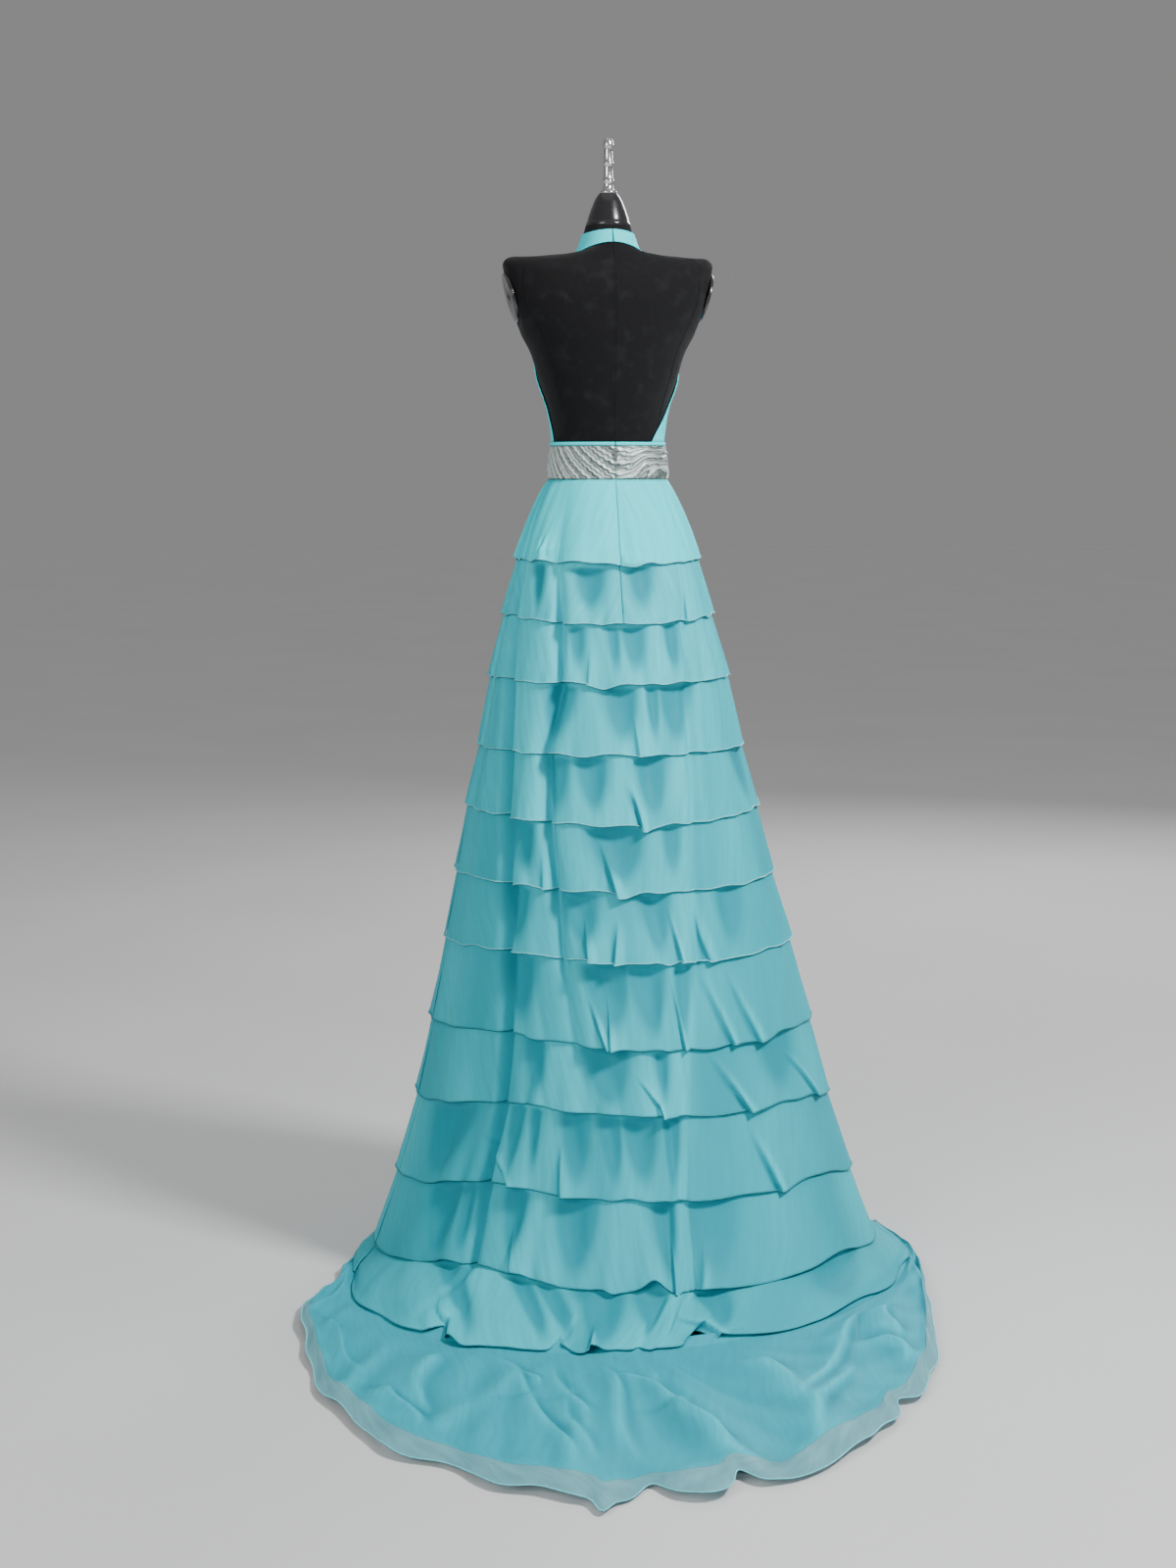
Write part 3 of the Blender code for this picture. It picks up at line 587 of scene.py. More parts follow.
class Paint:
    """A material in the making."""

    def __init__(self, name: str, fixed: dict[str, object]) -> None:
        """Starts a material.

        Args:
            name: Its name.
            fixed: What stays the same all over, by the shader's socket.
        """
        self.material = bpy.data.materials.new(name)
        self.material.use_nodes = True
        self.tree = self.material.node_tree
        self.shader = self.tree.nodes["Principled BSDF"]
        for socket, value in fixed.items():
            self.shader.inputs[socket].default_value = value

    def node(self, kind: str, settings: dict[str, object], sockets: dict[str | int, object]) -> bpy.types.Node:
        """Adds a node.

        Args:
            kind: The node's type.
            settings: Its own settings, set first.
            sockets: Values or wires, by socket.

        Returns:
            The node.
        """
        made = self.tree.nodes.new(kind)
        for name, value in settings.items():
            setattr(made, name, value)
        for name, value in sockets.items():
            if isinstance(value, Wire):
                self.tree.links.new(value.socket, made.inputs[name])
            else:
                made.inputs[name].default_value = value
        return made

    def feed(self, socket: str, wire: Wire) -> None:
        """Leads a wire to one of the shader's sockets."""
        self.tree.links.new(wire.socket, self.shader.inputs[socket])

    def maths(self, operation: str, *values: "Wire | float") -> Wire:
        """A sum of wires and numbers."""
        made = self.node("ShaderNodeMath", {"operation": operation}, dict(enumerate(values)))
        return Wire(self, made.outputs[0])

    def place(self, kind: Place, stretch: tuple[float, float, float] = (1, 1, 1)) -> Wire:
        """Coordinates in metres, stretched along each axis."""
        found = Wire(self, self.node("ShaderNodeTexCoord", {}, {}).outputs[kind.value])
        return Wire(self, self.node("ShaderNodeMapping", {}, {"Vector": found, "Scale": stretch}).outputs[0])

    def noise(self, place: Wire, scale: float, detail: float = 3.0, roughness: float = 0.5) -> Wire:
        """Cloudy values about 0.5."""
        sockets = {"Vector": place, "Scale": scale, "Detail": detail, "Roughness": roughness}
        return Wire(self, self.node("ShaderNodeTexNoise", {}, sockets).outputs[0])

    def cells(self, place: Wire, scale: float) -> Wire:
        """One steady value for each small cell, from its colour's red."""
        made = self.node("ShaderNodeTexVoronoi", {}, {"Vector": place, "Scale": scale})
        return Wire(self, self.node("ShaderNodeSeparateColor", {}, {0: Wire(self, made.outputs[1])}).outputs[0])

    def threads(self, place: Wire, scale: float, direction: str, distortion: float = 0.0) -> Wire:
        """Parallel threads or ribs as a sine across one axis.

        Args:
            place: Where they are measured.
            scale: How close together they lie.
            direction: The axis that crosses them, X or Y.
            distortion: How far they wander.

        Returns:
            Values from 0 to 1.
        """
        settings = {"wave_type": "BANDS", "bands_direction": direction}
        sockets = {"Vector": place, "Scale": scale, "Distortion": distortion, "Detail": 1.0}
        return Wire(self, self.node("ShaderNodeTexWave", settings, sockets).outputs[1])

    def between(self, value: Wire, low: float, high: float, to_low: float = 0.0, to_high: float = 1.0) -> Wire:
        """The value's run from low to high, eased on to another run.

        Args:
            value: What is read.
            low: Where its run begins.
            high: Where its run ends.
            to_low: What low gives.
            to_high: What high gives.

        Returns:
            The eased value.
        """
        sockets = {"Value": value, "From Min": low, "From Max": high, "To Min": to_low, "To Max": to_high}
        made = self.node("ShaderNodeMapRange", {"interpolation_type": "SMOOTHSTEP"}, sockets)
        return Wire(self, made.outputs[0])

    def mix(self, factor: "Wire | float", low: object, high: object) -> Wire:
        """A colour between two colours or wires."""
        sockets = {
            0: factor,
            6: low if isinstance(low, Wire) else (*low, 1.0),
            7: high if isinstance(high, Wire) else (*high, 1.0),
        }
        return Wire(self, self.node("ShaderNodeMix", {"data_type": "RGBA"}, sockets).outputs[2])

    def attribute(self, name: str) -> Wire:
        """A piece's own value at each vertex."""
        return Wire(self, self.node("ShaderNodeAttribute", {"attribute_name": name}, {}).outputs["Fac"])

    def relief(self, height: Wire, depth: float, strength: float = 1.0) -> None:
        """Raises the surface in shading by height * depth, in metres."""
        made = self.node("ShaderNodeBump", {}, {"Height": height, "Distance": depth, "Strength": strength})
        self.feed("Normal", Wire(self, made.outputs[0]))


Colour = tuple[float, float, float]


def shaded(colour: Colour, share: float) -> Colour:
    """A colour with each part multiplied by a share."""
    return tuple(min(1.0, part * share) for part in colour)


@dataclass(frozen=True)
class Chiffon:
    """Crepe chiffon over a smooth lining: fine crossed threads, crinkle, and a little unevenness of dye."""

    name: str
    colour: Colour
    # pale is mixed in by the piece's "tone": painted light and shade, partly the lining showing through.
    pale: Colour | None = None
    roughness: float = 0.55
    sheen: float = 0.05
    alpha: float = 1.0
    crinkle: float = 0.0009

    def make(self) -> bpy.types.Material:
        """Builds the material.

        Returns:
            The material, with threads on the cloth's own UV map in metres.
        """
        paint = Paint(self.name, {
            "Sheen Weight": self.sheen, "Sheen Roughness": 0.45, "Specular IOR Level": 0.09,
            "Sheen Tint": (0.35, 0.90, 1.0, 1.0),
        })
        cloth = paint.place(Place.CLOTH)
        room = paint.place(Place.OBJECT)
        dye = paint.noise(room, 5.0, 3.0)
        slub = paint.noise(paint.place(Place.CLOTH, (30.0, 3.0, 1.0)), 3.0, 4.0)
        tone = paint.between(dye, 0.32, 0.70)
        even = paint.mix(tone, shaded(self.colour, 0.93), shaded(self.colour, 1.05))
        streak = paint.between(slub, 0.35, 0.72)
        # Painted light and shade: the pale colour is mixed in where the piece's "tone" is high.
        if self.pale is not None:
            even = paint.mix(paint.between(paint.attribute("tone"), 0.0, 1.0), even, self.pale)
        greyer = tuple(part * 0.92 + 0.03 for part in self.colour)
        paint.feed("Base Color", paint.mix(streak * 0.30, even, greyer))
        crinkle = paint.noise(paint.place(Place.CLOTH, (1.0, 0.45, 1.0)), 48.0, 5.0, 0.55)
        threads = paint.threads(cloth, 230.0, "X", 0.4) * paint.threads(cloth, 230.0, "Y", 0.4)
        paint.relief(crinkle + threads * 0.10, self.crinkle, 0.55)
        paint.feed("Roughness", paint.between(crinkle, 0.3, 0.7, self.roughness - 0.06, self.roughness + 0.08))
        if self.alpha < 1.0:
            see = paint.between(paint.noise(cloth, 22.0, 3.0), 0.3, 0.7, self.alpha - 0.10, self.alpha + 0.12)
            paint.feed("Alpha", see)
        return paint.material


CHIFFONS = {
    "bodice": Chiffon("aqua chiffon of the bodice", (0.035, 0.88, 0.97)),
    # Painted light: the yoke's chiffon is a lighter copy of the tiers' own, as if nearer the lamp.
    "yoke": Chiffon("aqua chiffon of the yoke, painted lighter", (0.006, 0.56, 0.70), pale=(0.040, 0.93, 1.0)),
    "tiers": Chiffon("aqua chiffon", (0.006, 0.32, 0.40), pale=(0.050, 0.71, 0.81)),
    "train": Chiffon("aqua chiffon of the train", (0.005, 0.26, 0.34), pale=(0.030, 0.56, 0.68)),
    "border": Chiffon("aqua chiffon, unlined", (0.10, 0.36, 0.42), pale=(0.26, 0.60, 0.66), alpha=0.72),
    # Rolled hems: the dark colour is painted shadow under the roll, the pale one a painted highlight on top.
    "hem": Chiffon("aqua chiffon, rolled", (0.003, 0.10, 0.13), pale=(0.20, 0.78, 0.86), roughness=0.40,
                   crinkle=0.0003),
    # Painted shade: a darker copy of the rolled hem, for the lower tiers.
    "shaded low hem": Chiffon("aqua chiffon, rolled low, painted darker", (0.002, 0.07, 0.09), pale=(0.035, 0.36, 0.43),
                       crinkle=0.0003),
}


@dataclass(frozen=True)
class Lame:
    """Silver lamé in pleats: grey-green metal threads, painted light on each crest and painted shade under each
    edge.
    """

    name: str = "silver lamé"
    # bright is the painted light on each pleat's crest, dull the painted shade under its edge.
    bright: Colour = (0.60, 0.71, 0.69)
    dull: Colour = (0.040, 0.075, 0.072)

    def make(self) -> bpy.types.Material:
        """Builds the material; the attribute "rise", 1 on a pleat's crest and 0 under its edge, paints light and
        shade.

        Returns:
            The material.
        """
        paint = Paint(self.name, {"Sheen Weight": 0.15, "Specular IOR Level": 0.5})
        cloth = paint.place(Place.CLOTH)
        rise = paint.attribute("rise")
        spark = paint.cells(cloth, 900.0)
        patches = paint.noise(cloth, 60.0, 4.0)
        # Painted shade under each pleat's edge, painted light on its crest.
        pleat_light_and_shade = paint.mix(paint.between(rise, 0.06, 0.60), self.dull, self.bright)
        # Brighter at the glittering cells and in random patches.
        bright = paint.between(spark, 0.70, 0.98) * 0.35 + paint.between(patches, 0.45, 0.7) * 0.20
        paint.feed("Base Color", paint.mix(bright, pleat_light_and_shade, (0.86, 0.93, 0.90)))
        paint.feed("Metallic", paint.between(spark, 0.2, 0.9, 0.40, 0.75))
        paint.feed("Roughness", paint.between(spark, 0.1, 0.9, 0.48, 0.28))
        ribs = paint.threads(cloth, 260.0, "Y", 1.2)
        paint.relief(ribs * 0.35 + spark * 0.3 + patches, 0.0006, 0.7)
        return paint.material


@dataclass(frozen=True)
class Jersey:
    """Black knitted cover of the dress form: fine ribs down the body, and a soft bloom at its edges."""

    name: str = "black jersey"
    colour: Colour = (0.006, 0.006, 0.007)

    def make(self) -> bpy.types.Material:
        """Builds the material.

        Returns:
            The material.
        """
        paint = Paint(self.name, {
            "Sheen Weight": 0.06, "Sheen Roughness": 0.5, "Specular IOR Level": 0.15,
        })
        cloth = paint.place(Place.CLOTH)
        lint = paint.noise(paint.place(Place.OBJECT), 40.0, 5.0)
        colour = paint.mix(paint.between(lint, 0.45, 0.80), self.colour, shaded(self.colour, 2.6))
        paint.feed("Base Color", colour)
        paint.feed("Roughness", paint.between(lint, 0.3, 0.7, 0.78, 0.92))
        knit = paint.threads(cloth, 190.0, "X") * paint.threads(cloth, 250.0, "Y")
        paint.relief(knit + lint * 0.5, 0.0006, 0.6)
        return paint.material


@dataclass(frozen=True)
class Lacquer:
    """Gloss black lacquer with faint dust and fine scuffs."""

    name: str = "black lacquer"
    colour: Colour = (0.012, 0.012, 0.014)

    def make(self) -> bpy.types.Material:
        """Builds the material.

        Returns:
            The material.
        """
        paint = Paint(self.name, {"Coat Roughness": 0.06, "Specular IOR Level": 0.5})
        room = paint.place(Place.OBJECT)
        dust = paint.noise(room, 34.0, 6.0, 0.65)
        scuff = paint.noise(paint.place(Place.OBJECT, (4.0, 4.0, 0.6)), 60.0, 4.0)
        paint.feed("Base Color", paint.mix(paint.between(dust, 0.55, 0.85), self.colour, (0.030, 0.030, 0.032)))
        paint.feed("Roughness", paint.between(dust, 0.4, 0.8, 0.20, 0.34) + paint.between(scuff, 0.6, 0.8) * 0.08)
        paint.feed("Coat Weight", paint.between(dust, 0.4, 0.8, 0.9, 0.5))
        paint.relief(dust, 0.0002, 0.4)
        return paint.material


@dataclass(frozen=True)
class Metal:
    """Polished metal with turning marks and a little tarnish."""

    name: str
    colour: Colour = (0.70, 0.71, 0.73)
    roughness: float = 0.16

    def make(self) -> bpy.types.Material:
        """Builds the material.

        Returns:
            The material.
        """
        paint = Paint(self.name, {"Metallic": 1.0})
        room = paint.place(Place.OBJECT)
        marks = paint.noise(paint.place(Place.OBJECT, (0.4, 0.4, 14.0)), 90.0, 3.0)
        tarnish = paint.noise(room, 70.0, 5.0)
        dull = shaded(self.colour, 0.62)
        paint.feed("Base Color", paint.mix(paint.between(tarnish, 0.50, 0.80), self.colour, dull))
        paint.feed("Roughness", paint.between(marks, 0.3, 0.7, self.roughness - 0.05, self.roughness + 0.14))
        paint.relief(marks, 0.0001, 0.5)
        return paint.material


@dataclass(frozen=True)
class Studio:
    """The pale floor's finish."""

    name: str = "pale studio floor"
    colour: Colour = (0.70, 0.70, 0.70)
    cloud: float = 1.03

    def make(self) -> bpy.types.Material:
        """Builds the material.

        Returns:
            The material.
        """
        paint = Paint(self.name, {"Specular IOR Level": 0.2})
        cloudy = paint.noise(paint.place(Place.OBJECT), 1.3, 4.0)
        light = shaded(self.colour, self.cloud)
        paint.feed("Base Color", paint.mix(paint.between(cloudy, 0.3, 0.7), self.colour, light))
        paint.feed("Roughness", paint.between(cloudy, 0.3, 0.7, 0.78, 0.86))
        return paint.material


def dress(piece: bpy.types.Object, material: bpy.types.Material) -> bpy.types.Object:
    """Gives a piece its finish and slot, and sets it on the body that carries the gown.

    Args:
        piece: The finished mesh.
        material: Its finish.

    Returns:
        The piece.
    """
    piece.data.materials.clear()
    piece.data.materials.append(material)
    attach(piece, BODY)
    return piece


# ---------------------------------------------------------------- the dress form and its stand


@dataclass
class DressForm:
    """The limbless torso, its arm plates, and the stand under it."""

    columns: int = 144
    rows: int = 110
    mean_radius: float = 0.13
    arm_z: float = 1.708
    arm_x: float = 0.1690
    arm_lean: float = 0.28
    arm_radius: float = 0.044
    arm_thick: float = 0.006
    arm_sides: int = 72
    base_radius: float = 0.180
    pole_radius: float = 0.016
    seam_radius: float = 0.0006

    def surface(self, angle: Array, level: Array) -> Array:
        """The form's skin: the loft, with |x| held within the flat cut at each shoulder.

        Args:
            angle: Degrees round the body.
            level: Rows of the form's table.

        Returns:
            Points, with a last axis of three.
        """
        points = loft(FORM, angle, level)
        reach = self.arm_x + (points[..., 2] - self.arm_z) * self.arm_lean
        reach = np.where(points[..., 2] > FORM[7].z_side, reach, 1.0)
        points[..., 0] = np.clip(points[..., 0], -reach, reach)
        return points

    def over(self, angle: Array, level: Array, lift: Array | float) -> Array:
        """Points that stand a distance off the skin: skin + lift * its normal."""
        normal = outward(self.surface, angle, level, -0.03)
        return self.surface(angle, level) + np.asarray(lift)[..., None] * normal

    def build_torso(self) -> bpy.types.Object:
        """The skin from the neck down, with its ends drawn in to closed flat faces.

        Returns:
            The torso.
        """
        levels = np.linspace(len(FORM) - 1, 0, self.rows)
        angle, level = np.meshgrid(np.linspace(0, 360, self.columns, endpoint=False), levels)
        skin = self.surface(angle, level)
        middle_top, middle_foot = skin[:1].mean(axis=1, keepdims=True), skin[-1:].mean(axis=1, keepdims=True)
        shrink = np.array([0.0005, 0.5, 0.97])[:, None, None]
        top = middle_top + (skin[:1] - middle_top) * shrink
        foot = middle_foot + (skin[-1:] - middle_foot) * shrink[::-1]
        points = np.concatenate([top, skin, foot])
        run = np.radians(angle) * self.mean_radius
        around = np.concatenate([run[:3], run, run[:3]])
        down = np.concatenate([points[:, :1, 2]] * self.columns, axis=1)
        uv = np.stack([around, -down], axis=-1)
        faces = grid_faces(len(points), self.columns, round_columns=True)
        return add_piece("form_skin", points, faces, uv)

    def build_seams(self) -> bpy.types.Object:
        """The cover's seams at the centre back and the sides: a fine cord let into the skin along each.

        Returns:
            The seams as one piece.
        """
        levels = np.linspace(11.9, 4.2, 90)
        paths = [self.over(np.full_like(levels, at), levels, 0.0001) for at in (0.0, 56.0, -56.0)]
        parts = [add_tube(f"form_seam_{number}", path, self.seam_radius) for number, path in enumerate(paths)]
        return join("form_seams", parts)

    def build_arm_plates(self) -> list[bpy.types.Object]:
        """A round lacquered plate with a rounded rim and a raised ring, on the flat cut at each shoulder.

        Each is a round grid: reach r from 0 to 1 of the radius a and turn t, at (r a cos t, r a sin t,
        height(r)), laid on the cut.

        Returns:
            The left and right plates.
        """
        lean = math.atan(self.arm_lean)
        profile = np.array([
            (0.002, 1.3), (0.10, 1.3), (0.14, 1.2), (0.16, 0.9), (0.60, 0.9), (0.66, 0.98),
            (0.72, 0.98), (0.78, 0.9), (0.93, 0.9), (0.97, 0.84), (0.99, 0.76), (1.0, 0.62),
            (1.0, 0.15), (0.99, 0.0), (0.5, 0.0), (0.002, 0.0),
        ])
        reach, height = profile.T
        turn = np.linspace(0, 2 * np.pi, self.arm_sides, endpoint=False)
        faces = grid_faces(len(reach), self.arm_sides, round_columns=True)[:, ::-1]
        made = []
        for side, name in ((1, "arm_plate_left_disc"), (-1, "arm_plate_right_disc")):
            across = self.arm_radius * reach[:, None] * np.cos(turn) * side
            along = self.arm_radius * reach[:, None] * np.sin(turn)
            out = np.broadcast_to((height * self.arm_thick)[:, None], across.shape)
            normal = np.array([side * math.cos(lean), 0, -math.sin(lean)])
            upward = np.array([side * math.sin(lean), 0, math.cos(lean)])
            centre = np.array([side * self.arm_x, 0, self.arm_z]) + normal * SEAM_GAP
            points = (
                centre
                + along[..., None] * upward
                + across[..., None] * np.array([0, 1.0, 0])
                + out[..., None] * normal
            )
            made.append(add_piece(name, points, faces))
        return made

    def build_stand(self) -> dict[str, bpy.types.Object]:
        """The base, pole, neck cap and finial, each turned from its own profile.

        Returns:
            The four pieces by name.
        """
        radius, pole = self.base_radius, self.pole_radius
        under, neck, cap = FORM[0].z_side - SEAM_GAP, FORM[-1].z_side + SEAM_GAP, 1.8865
        foot = cap + SEAM_GAP
        profiles = {
            "stand_foot": [
                (0, 0), (radius - 0.002, 0), (radius, 0.0015), (radius, 0.005), (radius - 0.002, 0.0075),
                (radius - 0.008, 0.0098), (0.120, 0.0112), (0.040, 0.0136), (0.030, 0.0140), (0, 0.0140),
            ],
            "stand_tube": [
                (0, 0.0143), (0.026, 0.0143), (0.026, 0.044), (0.025, 0.050), (0.018, 0.058), (pole, 0.060),
                (pole, under), (0, under),
            ],
            "neck_cap_turned": [
                (0, neck), (0.0385, neck), (0.0390, neck + 0.0012), (0.0388, neck + 0.0035),
                (0.0372, neck + 0.006), (0.0345, 1.8475), (0.0310, 1.858), (0.0270, 1.868), (0.0235, 1.876),
                (0.0205, 1.8812), (0.0185, 1.884), (0.0172, 1.8858), (0.0165, cap), (0, cap),
            ],
            "neck_finial_turned": [(reach, foot + rise) for reach, rise in (
                (0, 0), (0.0146, 0), (0.0153, 0.001), (0.0155, 0.003), (0.0150, 0.0042), (0.0112, 0.006),
                (0.0092, 0.010), (0.0085, 0.016), (0.0092, 0.019), (0.0104, 0.0212), (0.0104, 0.0228),
                (0.0092, 0.025), (0.0083, 0.028), (0.0078, 0.046), (0.0086, 0.049), (0.0097, 0.0512),
                (0.0097, 0.0528), (0.0086, 0.055), (0.0078, 0.058), (0.0072, 0.076), (0.0082, 0.079),
                (0.0094, 0.0822), (0.0094, 0.084), (0.0088, 0.088), (0.0079, 0.091), (0.0062, 0.0936),
                (0.0040, 0.0955), (0.0018, 0.0963), (0, 0.0965),
            )],
        }
        return {name: add_turned(name, profile) for name, profile in profiles.items()}

    def build(self) -> None:
        """Builds and dresses the form and its stand, in place of their plainer CAD nodes."""
        jersey, lacquer = Jersey().make(), Lacquer().make()
        steel = Metal("polished metal").make()
        torso = dress(self.build_torso(), jersey)
        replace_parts(torso, "form_torso")
        seams = dress(self.build_seams(), jersey)
        for piece, node in zip(self.build_arm_plates(), ("arm_plate_left", "arm_plate_right")):
            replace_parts(dress(piece, lacquer), node)
        nodes = ("stand_base", "stand_pole", "neck_cap", "neck_finial")
        finishes = ((lacquer, "black_lacquer"), (steel, "polished_metal")) * 2
        for (name, piece), node, (finish, slot) in zip(self.build_stand().items(), nodes, finishes):
            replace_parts(dress(piece, finish), node)
            log.info("built %s", name)
        log.info("built %s and %s", torso.name, seams.name)


def join(name: str, parts: Iterable[bpy.types.Object]) -> bpy.types.Object:
    """Joins plain meshes into one piece.

    Args:
        name: The new piece's name.
        parts: Pieces without modifiers; they are used up.

    Returns:
        The joined piece.
    """
    corners, faces, uvs, count = [], [], [], 0
    for part in parts:
        mesh = part.data
        place = np.empty(len(mesh.vertices) * 3)
        mesh.vertices.foreach_get("co", place)
        quad = np.empty(len(mesh.polygons) * 4, dtype=int)
        mesh.loops.foreach_get("vertex_index", quad)
        uv = np.empty(len(mesh.loops) * 2)
        mesh.uv_layers[0].uv.foreach_get("vector", uv)
        by_corner = np.zeros((len(mesh.vertices), 2))
        by_corner[quad] = uv.reshape(-1, 2)
        corners.append(place.reshape(-1, 3))
        faces.append(quad.reshape(-1, 4) + count)
        uvs.append(by_corner)
        count += len(mesh.vertices)
        bpy.data.objects.remove(part)
        bpy.data.meshes.remove(mesh)
    return add_piece(name, np.concatenate(corners), np.concatenate(faces), np.concatenate(uvs))


# ---------------------------------------------------------------- the bodice, neckband and waistband


@dataclass
class Bodice:
    """The halter front, bare at the back, with a rolled edge down each side."""

    form: DressForm
    clear: float = 2.6 * FORM_CLEAR
    gather: float = 0.0016
    thickness: float = 0.0010
    roll: float = 0.0011
    rows: int = 80
    columns: int = 110

    def edges(self, level: Array) -> tuple[Array, Array]:
        """Where the right and left edges lie, as angles from the centre front, at each level.

        Above the waist each is the mean of its table at five levels near by, so that it bends without kinks.

        Args:
            level: Rows of the form's table.

        Returns:
            The two angles, each shaped as level.
        """
        wide_at = (4.0, 5.0, 6.0, 7.0, 8.0, 9.0, 10.0, 11.0, 11.5, 11.8, 12.0)
        near = level + np.outer(np.linspace(-0.6, 0.6, 5), ease(level, 4.5, 6.5) * (1 - ease(level, 11.0, 11.9)))
        right = np.interp(near, wide_at, (136, 112, 88, 65, 46, 35, 29, 29, 36, 50, 76)).mean(axis=0)
        left = np.interp(near, wide_at, (99, 90, 78, 62, 46, 35, 29, 29, 36, 50, 76)).mean(axis=0)
        return right, left

    def points(self) -> Array:
        """The outer face: the form's skin + clearance + gathers that fan down from the neck.

        A gather is a wave of the share across the front, as high as the cloth is full: most at the neckband
        and under the bust, least over the bust.

        Returns:
            Rows by columns of points, rows downwards.
        """
        levels = np.linspace(11.96, 4.01, self.rows)
        right, left = self.edges(levels)
        share = np.linspace(-1, 1, self.columns)
        angle = 180 + np.where(share < 0, np.outer(right, share), np.outer(left, share))
        level = np.repeat(levels[:, None], self.columns, axis=1)
        fan = 0.5 + 0.5 * np.sin(17 * np.pi * share[None, :] + 1.4 * np.sin(level * 0.9) + 0.6)
        fine = 0.5 + 0.5 * np.sin(31 * np.pi * share[None, :] - 0.8 * level)
        full = 0.25 + 0.75 * ease(level, 8.0, 11.0) + 0.45 * (1 - ease(level, 4.2, 6.2))
        lift = self.clear + CLOTH + self.gather * full * (0.7 * fan + 0.3 * fine) * (1 - share**8)[None, :]
        return self.form.over(angle, level, lift)

    def build(self, paint: bpy.types.Material) -> None:
        """Builds the bodice and its edges in place of the CAD's.

        Args:
            paint: The chiffon's finish.
        """
        points = self.points()
        cloth = dress(add_sheet("bodice_cloth", points, self.thickness), paint)
        sides = [add_tube(f"bodice_roll_{at}", points[:, at], self.roll, 8) for at in (0, -1)]
        edge = dress(join("bodice_edges", sides), paint)
        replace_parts(cloth, "bodice_front")
        log.info("built %s", cloth.name)


@dataclass
class Neckband:
    """The stand-up band round the neck, with topstitched edges and a seam at the nape."""

    form: DressForm
    rows: int = 14
    turn_in: float = 0.0006
    thickness: float = 0.0018
    roll: float = 0.0007

    def build(self, paint: bpy.types.Material) -> None:
        """Builds both halves: skin + clearance + cloth, puffed a little between the stitched edges.

        Args:
            paint: The chiffon's finish.
        """
        drop = np.linspace(0, 1, self.rows)
        puff = self.turn_in * (1 - (2 * drop - 1) ** 8)[:, None]
        for side, begins, ends in (("right", 0.9, 179.7), ("left", 180.3, 359.1)):
            angle, drops = np.meshgrid(np.linspace(begins, ends, 90), drop)
            level = 13.0 - (0.98 + 0.09 * np.sin(np.radians(angle)) ** 2) * drops
            points = self.form.over(angle, level, FORM_CLEAR + BAND_CLOTH - self.turn_in + puff)
            band = dress(add_sheet(f"neckband_{side}_cloth", points, self.thickness), paint)
            rolls = [add_tube(f"roll_{at}", points[at], self.roll, 6) for at in (0, -1)]
            rolls += [add_tube(f"stitching_{at}", points[at], self.roll / 2, 5) for at in (2, -3)]
            edge = dress(join(f"neckband_{side}_edges", rolls), paint)
            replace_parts(band, f"neckband_{side}")
            log.info("built %s", band.name)


